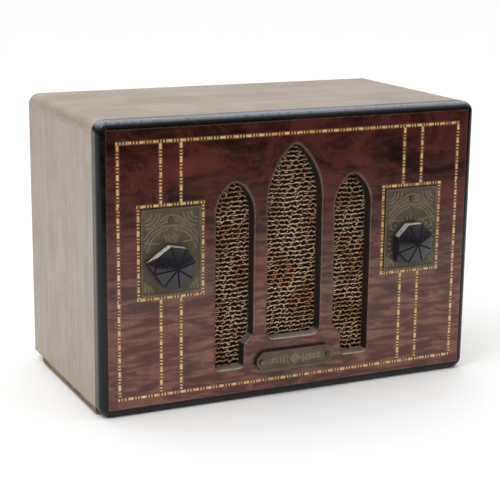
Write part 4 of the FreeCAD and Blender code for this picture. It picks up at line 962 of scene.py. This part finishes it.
class RADIO_OT_nameplate(bpy.types.Operator):
    """Model the small ornamental plate under the middle arch"""
    bl_idname = "radio.nameplate"
    bl_label = "Nameplate"

    def execute(self, context):
        low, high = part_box("nameplate")
        width, height, thickness = high[0] - low[0], high[2] - low[2], high[1] - low[1]
        chamfer, rim, slope, sink, rounding = 4.2 * MM, 0.7 * MM, 0.2 * MM, 0.25 * MM, 0.12 * MM
        plate = flat_slab("ornament_plate", width, height, thickness)
        sunken_front(plate, thickness, chamfer, 1, rim, slope, sink, rounding)
        lines = [[(0, 3.1), (3.4, 0)], [(0, -3.1), (3.4, 0)], [(0, 1.4), (1.5, 0)], [(0, -1.4), (1.5, 0)]]
        for k in range(5):
            lines.append([(5.4 + 2.5 * k, -2.9 + 0.3 * k), (5.4 + 2.5 * k, 2.9 - 0.3 * k)])
            lines.append([(6.3 + 2.5 * k, 0.9), (6.9 + 2.5 * k, 0.9)])
            lines.append([(6.3 + 2.5 * k, -0.9), (6.9 + 2.5 * k, -0.9)])
        half_line, squash = 0.24 * MM, 1.2
        relief = ribs("ornament", mirrored(lines), half_line, squash)
        plate = raised("ornament_plate", plate, relief, thickness - sink)
        stand_up(plate, ((low[0] + high[0]) / 2, high[1], (low[2] + high[2]) / 2))
        place_piece(plate, "cabinet", bpy.data.materials["stamped_bronze"], "nameplate", slot="bronze_plate")
        # Painted shade: the block behind the plate is near-black and matte, so that it reads as the dark gap
        # round the plate.
        shade_backing = pressed_fibre("plate_backing", colour(14, 11, 11), colour(6, 5, 5), 1.0, 0.9)
        dress(shade_backing, "nameplate_block")
        return {"FINISHED"}


def faceted_knob(name, angle, settings):
    """An eight-sided knob with a roof of eight grooved facets and a pointed nose, drawn flat."""
    height, roof = settings.side_height, settings.roof_height
    groove_slope, groove_depth, back_wall, back_depth = 0.14 * MM, 0.5 * MM, 3.4 * MM, 2.2 * MM
    nose_drop = height / 2 - 0.4 * MM
    knob = start(name, "cylinder", vertices=8, radius=settings.corner_radius, depth=height,
                 location=(0, 0, height / 2), rotation=(0, 0, angle + math.radians(22.5)))
    pick(knob, "faces", lambda f: f.normal.z > 0.9)
    bpy.ops.mesh.poke()
    pick(knob, "verts", lambda v: v.co.xy.length < 0.5 * MM and v.co.z > height / 2)
    move((0, 0, roof))
    pointer = Vector((math.cos(angle), math.sin(angle), 0))
    flat_radius = settings.corner_radius * math.cos(math.radians(22.5))
    pick(knob, "faces", lambda f: f.normal.dot(pointer) > 0.99)
    bpy.ops.mesh.poke()
    mid = pointer * flat_radius + Vector((0, 0, height / 2))
    pick(knob, "verts", lambda v: (v.co - mid).length < 0.3 * MM)
    move(pointer * (settings.nose_reach - flat_radius) - Vector((0, 0, nose_drop)))
    pick(knob, "faces", lambda f: f.normal.z > 0.25)
    bpy.ops.mesh.inset(use_individual=True, thickness=settings.groove, depth=0)
    bpy.ops.mesh.inset(use_individual=True, thickness=groove_slope, depth=groove_depth)
    pick(knob, "faces", lambda f: f.normal.z < -0.9)
    bpy.ops.mesh.inset(thickness=back_wall, depth=0)
    bpy.ops.mesh.extrude_region_move(TRANSFORM_OT_translate={"value": (0, 0, back_depth)})
    pick(knob, "faces", lambda f: f.calc_area() < settings.groove_area)
    for _ in range(3):      # the facets, the grooves between them, and the sides
        knob.data.materials.append(None)
    knob.active_material_index = 1
    bpy.ops.object.material_slot_assign()
    pick(knob, "faces", lambda f: abs(f.normal.z) < 0.3 and f.calc_area() > settings.groove_area)
    knob.active_material_index = 2
    bpy.ops.object.material_slot_assign()
    bpy.ops.object.mode_set(mode="OBJECT")
    soften(knob, 0.1 * MM, 2, 20)
    return knob


class RADIO_OT_knobs(bpy.types.Operator):
    """Model the two faceted pointer knobs"""
    bl_idname = "radio.knobs"
    bl_label = "Knobs"

    def execute(self, context):
        settings = context.scene.radio_knobs
        resin = moulded_resin("knob_resin", tuple(settings.body), tuple(settings.worn), 0.2)
        # Painted highlight: the knobs' upright sides take a pale colour where they face up, for the top
        # light.
        highlit_side_resin = moulded_resin("dusty_knob_side", tuple(settings.body), tuple(settings.worn), 0.3, 1.0)
        # Painted shade: a near-black material laid in the grooves between the facets.
        groove = pressed_fibre("groove_dirt", colour(12, 10, 11), colour(5, 4, 5), 1.5)
        for name, angle in (("volume", settings.volume_angle), ("tuning", settings.tuning_angle)):
            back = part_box(name + "_knob")[1][1]
            shaft_low, shaft_high = CONTROLS[name]
            centre = ((shaft_low[0] + shaft_high[0]) / 2, back, (shaft_low[2] + shaft_high[2]) / 2)
            knob = faceted_knob(name + "_pointer_knob", angle, settings)
            stand_up(knob, centre)
            place_piece(knob, name, (resin, groove, highlit_side_resin), name + "_knob", slot="knob_bakelite")
        return {"FINISHED"}


class RADIO_OT_grille_cloth(bpy.types.Operator):
    """Model the stretched cloth with its raised wavy rows"""
    bl_idname = "radio.grille_cloth"
    bl_label = "Grille cloth"

    def execute(self, context):
        settings = context.scene.radio_cloth
        low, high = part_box("grille_cloth")
        width, height = high[0] - low[0], high[2] - low[2]
        columns, rows = round(width / settings.mesh_step), round(height / settings.mesh_step)
        gap, proud = 0.02 * MM, 0.15 * MM       # behind the cloth, and over the set depth of its rows
        cloth = start("wavy_grille_cloth", "grid", x_subdivisions=columns, y_subdivisions=rows, size=1,
                      scale=(width, height, 1), rotation=(math.radians(90), 0, 0),
                      location=((low[0] + high[0]) / 2, high[1] - gap, (low[2] + high[2]) / 2))
        bpy.ops.object.mode_set(mode="OBJECT")
        mesh = cloth.data
        points = np.empty(3 * len(mesh.vertices))
        mesh.vertices.foreach_get("co", points)
        points = points.reshape(-1, 3)
        thread = self.thread_height(points[:, 0] - low[0], points[:, 2] - low[2], settings)
        points[:, 1] -= (settings.depth + proud) * thread
        mesh.vertices.foreach_set("co", points.ravel())
        mesh.attributes.new("thread", "FLOAT", "POINT").data.foreach_set("value", thread)
        mesh.update()
        smooth(cloth, 180)
        place_piece(cloth, "cabinet", wavy_cloth(settings), "grille_cloth", slot="grille_cloth")
        return {"FINISHED"}

    def thread_height(self, across, up, settings):
        """0 on the ground weave and 1 on top of a wavy row, with hand-made unevenness."""
        draw = random.Random(11)
        turn = 2 * math.pi / settings.wave_length
        drift = np.zeros_like(across)
        for _ in range(10):
            along = draw.uniform(0.15, 1.4) / (2.6 * MM)
            rise = draw.uniform(-1.3, 1.3) / (2.6 * MM)
            drift += 0.2 * np.sin(along * across + rise * up + draw.uniform(0, 6.28))
        rows = np.floor(up / settings.row_pitch).astype(int)
        starts = np.array([draw.uniform(0, 6.28) for _ in range(rows.max() + 1)])
        row = starts[rows]
        jitter = np.zeros_like(across)
        for _ in range(8):
            along = draw.uniform(0.6, 1.5) / MM
            rise = draw.uniform(-1.2, 1.2) / MM
            jitter += 0.35 * np.sin(along * across + rise * up + draw.uniform(0, 6.28))
        beat = np.sin(turn * across + 0.9 * row + 2.4 * drift)
        crinkle = np.sin(2.3 * turn * across + 2.1 * row + 2.6 * drift + jitter)
        calm = 0.6 + 0.4 * np.sin(0.37 * turn * across + 1.7 * row + 2.0 * drift)
        level = up + settings.swing * (calm * beat + 0.4 * crinkle) + MM * (0.4 * drift + 0.12 * jitter)
        breaks = 0.8 + 0.2 * np.sin(1.6 * turn * across + 3.1 * row + 2.0 * drift + jitter)
        thick = self.ridge(level, settings.row_pitch, 2.5) * breaks
        thin_level = up + 0.5 * settings.row_pitch - settings.swing * calm * crinkle + 0.3 * MM * drift
        thin = self.ridge(thin_level, settings.row_pitch, 3.4) * np.clip(0.3 + 0.45 * jitter, 0, 0.75)
        return np.maximum(thick, thin)

    def ridge(self, level, pitch, steepness):
        """1 along the middle of each row and 0 between the rows."""
        phase = level / pitch
        off = np.abs(phase - np.floor(phase) - 0.5) * 2
        return np.clip(1.25 - steepness * off, 0, 1)


# ---------------------------------------------------------------- cabinet pieces
class RADIO_OT_cabinet(bpy.types.Operator):
    """Finish the cabinet's panels, mouldings, board and blocks"""
    bl_idname = "radio.cabinet"
    bl_label = "Cabinet"

    def execute(self, context):
        settings = context.scene.radio_cabinet
        quarter = math.radians(90)
        dress(figured_veneer(settings), "front_veneer")
        sides = faded_wood("faded_side", settings, (0, quarter, 0), 0.15, 0.5)
        dress(sides, "side_panel_left", "side_panel_right")
        dress(faded_wood("faded_top", settings, (0, 0, 0), 0.7, 0.6), "top_panel")
        dress(black_lacquer(settings), "moulding_top", "moulding_bottom", "moulding_left", "moulding_right")
        dress(ebonised_core(), "front_panel")
        dress(raw_wood("board_ply", colour(150, 116, 80), colour(104, 76, 50)), "bottom_board")
        pine = raw_wood("glue_block_pine", colour(196, 160, 112), colour(150, 112, 70), (0, quarter, 0))
        dress(pine, "glue_blocks")
        dress(pressed_fibre("foot_felt", colour(48, 47, 50), colour(24, 23, 25), 1.8), "rear_feet")
        fibreboard = pressed_fibre("baffle_fibreboard", colour(128, 98, 66), colour(84, 62, 40), 0.9)
        dress(fibreboard, "baffle_board")
        screws = aged_metal("plated_screws", colour(150, 146, 138), colour(104, 92, 78),
                            wear=colour(210, 206, 196))
        dress(screws, "bottom_screws", "baffle_screws", "speaker_bolts")
        return {"FINISHED"}


class RADIO_OT_inlay(bpy.types.Operator):
    """Finish the inlaid banding"""
    bl_idname = "radio.inlay"
    bl_label = "Inlay"

    def execute(self, context):
        dress(inlay_banding(context.scene.radio_inlay), "inlay_border", "inlay_inner_lines")
        return {"FINISHED"}


# ---------------------------------------------------------------- valves
def bulb_outline(low, high, neck, belly, dome):
    """(radius, height) points up the outside of a shouldered bulb, in millimetres."""
    rise = high - low
    points = [(neck, low), (neck, low + 0.13 * rise), (neck + 1.4, low + 0.22 * rise),
              (belly - 1.1, low + 0.40 * rise), (belly, low + 0.48 * rise), (belly, low + 0.53 * rise),
              (belly - 1.2, low + 0.58 * rise), (dome + 1.0, low + 0.68 * rise), (dome, low + 0.74 * rise),
              (dome, low + 0.82 * rise)]
    base = points[-1][1]
    steps = 7
    for k in range(1, steps + 1):
        turn = math.radians(90 * k / steps)
        points.append((dome * math.cos(turn), base + (high - base) * math.sin(turn)))
    return points


def narrowed(points, wall):
    """The same outline from the inside of a wall."""
    return [(max(radius - wall, 0), height - (wall if radius < 9 else 0)) for radius, height in points]


class RADIO_OT_valves(bpy.types.Operator):
    """Model the valves' glass and inner parts, and finish their bases, caps and sockets"""
    bl_idname = "radio.valves"
    bl_label = "Valves"

    def execute(self, context):
        settings = context.scene.radio_valves
        wall = settings.glass_wall / MM
        glass = clear_glass()
        getter = aged_metal("getter_mirror", colour(150, 148, 146), colour(70, 64, 60), (0.12, 0.3), 0.9)
        nickel = aged_metal("grey_nickel", colour(84, 84, 86), colour(52, 50, 50), (0.4, 0.6), 0.8)
        for name in VALVES:
            low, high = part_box(name + "_tube_bulb")
            centre = ((low[0] + high[0]) / 2, (low[1] + high[1]) / 2, 0)
            outside = bulb_outline(low[2] / MM, high[2] / MM, 12.45, 17.95, 12.6)
            profile = outside + narrowed(outside, wall)[::-1]
            bulb = lathe(name + "_glass", profile, centre, steps=settings.steps)
            place_piece(bulb, "cabinet", glass, name + "_tube_bulb", slot="tube_glass")
            inner = narrowed(outside, wall + 0.25)
            flash = inner[-6:] if name == "rectifier" else inner[2:5]
            thin = [(radius - 0.15 if radius > 0.15 else 0, height - 0.1) for radius, height in flash]
            mirror = lathe(name + "_getter", flash + thin[::-1], centre, steps=settings.steps)
            place_piece(mirror, "cabinet", getter, slot="electrode_nickel")
        self.electrodes(nickel)
        resin = moulded_resin("base_resin", colour(40, 26, 20), colour(110, 84, 62), 0.22)
        dress(resin, *[name + "_tube_base" for name in VALVES])
        caps = aged_metal("cap_plate", colour(176, 172, 162), colour(120, 112, 98),
                          wear=colour(220, 216, 206))
        dress(caps, "grid_caps")
        wafer = pressed_fibre("socket_wafer", colour(112, 68, 38), colour(72, 42, 24), 0.7, 0.5)
        dress(wafer, "tube_sockets")
        return {"FINISHED"}

    def electrodes(self, nickel):
        """A ribbed anode between two mica discs in each valve, on wire supports."""
        low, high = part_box("tube_electrodes")
        made = []
        for name in VALVES:
            bulb_low, bulb_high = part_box(name + "_tube_bulb")
            centre = Vector(((bulb_low[0] + bulb_high[0]) / 2, (bulb_low[1] + bulb_high[1]) / 2, 0))
            base, top = low[2] / MM, high[2] / MM
            ribs_up = [(7.4 + (0.5 if k % 2 else 0), base + 20 + 2.6 * k) for k in range(11)]
            anode = [(1.0, base + 18.6), (6.6, base + 18.8)] + ribs_up
            anode += [(6.6, base + 47.0), (1.0, base + 47.2)]
            made.append(lathe("anode", anode, centre, steps=24))
            for level in (base + 17.4, top - 1.8):
                disc = [(0, level), (10.4, level), (10.4, level + 0.5), (0, level + 0.5)]
                made.append(lathe("mica", disc, centre, steps=24))
            stem = [(0, base), (8.0, base), (7.6, base + 2), (4.2, base + 9), (3.4, base + 15),
                    (0, base + 15.5)]
            made.append(lathe("stem", stem, centre, steps=24))
            for side in (-1, 1):
                foot = centre + Vector((9 * MM * side, 0, 0))
                wire = [(0, base + 3), (0.55, base + 3), (0.55, top), (0, top)]
                made.append(lathe("support", wire, foot, steps=8))
        piece = join("valve_electrodes", made)
        place_piece(piece, "cabinet", nickel, "tube_electrodes", slot="electrode_nickel")


# ---------------------------------------------------------------- chassis, condenser and loudspeaker
class RADIO_OT_chassis(bpy.types.Operator):
    """Finish the chassis, its cans, its controls and its leads"""
    bl_idname = "radio.chassis"
    bl_label = "Chassis"

    def execute(self, context):
        cadmium = aged_metal("cadmium_chassis", colour(168, 167, 159), colour(142, 136, 120), (0.36, 0.52),
                             0.9, 0.04, colour(206, 202, 190), 0.7)
        cans = aged_metal("can_aluminium", colour(196, 198, 200), colour(150, 148, 144), (0.26, 0.5),
                          1.0, 0.07, colour(228, 230, 232))
        plating = aged_metal("gang_plating", colour(168, 160, 138), colour(122, 106, 80),
                             wear=colour(210, 200, 176))
        vanes = aged_metal("vane_aluminium", colour(206, 208, 210), colour(166, 166, 164), (0.22, 0.4))
        shafts = aged_metal("turned_steel", colour(170, 164, 150), colour(128, 116, 96), (0.2, 0.42))
        dress(cadmium, "chassis")
        dress(cans, "coil_can", "filter_capacitor")
        dress(plating, "gang_frame", "volume_control")
        dress(vanes, "stator_plates", "rotor_plates")
        dress(shafts, "volume_shaft", "tuning_shaft")
        dress(pressed_fibre("grommet_rubber", colour(34, 32, 31), colour(16, 15, 15), 0.5, 0.7),
              "cord_grommet")
        dress(woven("lead_braid", colour(150, 122, 76), colour(52, 40, 30), 0.5),
              "grid_leads", "speaker_leads")
        return {"FINISHED"}


class RADIO_OT_loudspeaker(bpy.types.Operator):
    """Finish the loudspeaker and its transformer"""
    bl_idname = "radio.loudspeaker"
    bl_label = "Loudspeaker"

    def execute(self, context):
        crackle = aged_metal("crackle_black", colour(34, 33, 35), colour(18, 17, 18), (0.4, 0.62),
                             0.2, 0.4, colour(120, 116, 112))
        pot_steel = aged_metal("pot_steel", colour(128, 124, 118), colour(86, 76, 66), (0.34, 0.6),
                               0.9, 0.06, colour(180, 176, 168), 0.7)
        dress(crackle, "speaker_basket")
        dress(pot_steel, "field_pot", "pole_plate")
        dress(pressed_fibre("cone_paper", colour(56, 50, 46), colour(34, 30, 28), 1.1), "speaker_cone")
        dress(woven("doped_cloth", colour(96, 76, 54), colour(54, 42, 32), 0.5),
              "cone_surround", "cone_spider", "dust_cap")
        dress(wound_wire("coil_wire", colour(170, 92, 44), colour(84, 40, 20), 0.4, "Y"),
              "voice_coil", "field_coil")
        dress(stacked_iron(), "transformer_core")
        dress(pressed_fibre("waxed_paper", colour(186, 150, 92), colour(132, 98, 54), 0.5, 0.5),
              "transformer_coil")
        return {"FINISHED"}


# ---------------------------------------------------------------- stage
class RADIO_OT_stage(bpy.types.Operator):
    """Add the pale floor, the soft lights and the camera"""
    bl_idname = "radio.stage"
    bl_label = "Stage"

    def execute(self, context):
        settings = context.scene.radio_stage
        depth = 6.0
        floor = start("floor", "plane", scale=(12, depth, 1), size=1,
                      location=(0, depth / 2 - settings.floor_front, -0.0002))
        bpy.ops.object.mode_set(mode="OBJECT")
        tree = Recipe("pale_floor", Roughness=0.6)
        cloud = tree.noise(tree.place(), 0.01, 4, 0.6)
        tone = tree.blend(cloud, tuple(settings.floor), colour(254, 254, 253))
        tree.feed(tree.shader.inputs["Base Color"], tone)
        floor.data.materials.append(tree.material)
        context.scene.world = self.studio_air(settings)
        self.soft_light("key", (-0.75, -0.35, 1.15), 0.7, settings.key)
        self.soft_light("top", (0.25, 0.3, 1.5), 1.2, settings.top)
        self.soft_light("fill", (1.3, -1.2, 0.8), 1.2, settings.fill)
        context.scene.view_settings.view_transform = "Standard"
        self.camera(settings)
        return {"FINISHED"}

    def studio_air(self, settings):
        """White behind the radio; soft light from above and almost none from below the table."""
        world = bpy.data.worlds.new("studio")
        world.use_nodes = True
        tree = Tree(world.node_tree)
        seen = tree.add("Background", {"Color": (1, 1, 1, 1), "Strength": 1.0}).outputs["Background"]
        place = tree.add("TexCoord").outputs["Generated"]
        height = tree.axis(place, "Z")
        rise = tree.span(height, 0.05, 0.6, settings.air_low, settings.air_high)
        onto_front = tree.span(tree.axis(place, "Y"), 0.1, -0.8, 1.0, settings.front_share)
        glow = tree.times(rise, onto_front)
        lit = tree.add("Background", {"Strength": glow}).outputs["Background"]
        lit.node.inputs["Color"].default_value = (1, 1, 1, 1)
        direct = tree.add("LightPath").outputs["Is Camera Ray"]
        both = tree.add("MixShader", {0: direct, 1: lit, 2: seen}).outputs["Shader"]
        tree.feed(world.node_tree.nodes["World Output"].inputs["Surface"], both)
        return world

    def soft_light(self, name, place, size, power):
        lamp = bpy.data.lights.new(name, "AREA")
        lamp.size = size
        lamp.energy = power
        lamp_object = bpy.data.objects.new(name, lamp)
        lamp_object.location = place
        aim = Vector((0, 0, 0.08)) - Vector(place)
        lamp_object.rotation_euler = aim.to_track_quat("-Z", "Y").to_euler()
        bpy.context.collection.objects.link(lamp_object)

    def camera(self, settings):
        turn, tilt, roll = settings.azimuth, settings.elevation, settings.roll
        back = Vector((math.sin(turn) * math.cos(tilt), -math.cos(turn) * math.cos(tilt), math.sin(tilt)))
        right = (-back).cross(Vector((0, 0, 1))).normalized()
        up = right.cross(-back)
        leaned_right = right * math.cos(roll) + up * math.sin(roll)
        leaned_up = up * math.cos(roll) - right * math.sin(roll)
        lens = bpy.data.cameras.new("camera")
        lens.lens = settings.lens
        camera = bpy.data.objects.new("camera", lens)
        matrix = Matrix((leaned_right, leaned_up, back)).transposed().to_4x4()
        matrix.translation = Vector(settings.eye)
        camera.matrix_world = matrix
        bpy.context.collection.objects.link(camera)
        bpy.context.scene.camera = camera


# ---------------------------------------------------------------- add-on
OPERATORS = (RADIO_OT_cabinet, RADIO_OT_inlay, RADIO_OT_escutcheons, RADIO_OT_nameplate, RADIO_OT_knobs,
             RADIO_OT_grille_cloth, RADIO_OT_valves, RADIO_OT_chassis, RADIO_OT_loudspeaker, RADIO_OT_stage)
SETTINGS = {"radio_cabinet": CabinetSettings, "radio_inlay": InlaySettings, "radio_plates": PlateSettings,
            "radio_knobs": KnobSettings, "radio_cloth": ClothSettings, "radio_valves": ValveSettings,
            "radio_stage": StageSettings}


class RADIO_PT_panel(bpy.types.Panel):
    """The radio's pieces, in the order they are made"""
    bl_idname = "RADIO_PT_panel"
    bl_label = "Tabletop Radio"
    bl_space_type = "VIEW_3D"
    bl_region_type = "UI"
    bl_category = "Radio"

    def draw(self, context):
        for operator in OPERATORS:
            self.layout.operator(operator.bl_idname)
        for name, group in SETTINGS.items():
            box = self.layout.box()
            box.label(text=group.__name__.replace("Settings", ""))
            for key in group.__annotations__:
                box.prop(getattr(context.scene, name), key)


def register():
    for group in SETTINGS.values():
        bpy.utils.register_class(group)
    for operator in OPERATORS:
        bpy.utils.register_class(operator)
    bpy.utils.register_class(RADIO_PT_panel)
    for name, group in SETTINGS.items():
        setattr(bpy.types.Scene, name, bpy.props.PointerProperty(type=group))


def unregister():
    for name in SETTINGS:
        delattr(bpy.types.Scene, name)
    bpy.utils.unregister_class(RADIO_PT_panel)
    for operator in reversed(OPERATORS):
        bpy.utils.unregister_class(operator)
    for group in reversed(list(SETTINGS.values())):
        bpy.utils.unregister_class(group)


def main():
    register()
    make_groups()
    for operator in OPERATORS:
        family, action = operator.bl_idname.split(".")
        getattr(getattr(bpy.ops, family), action)()
    deselect()


if __name__ == "__main__":
    main()
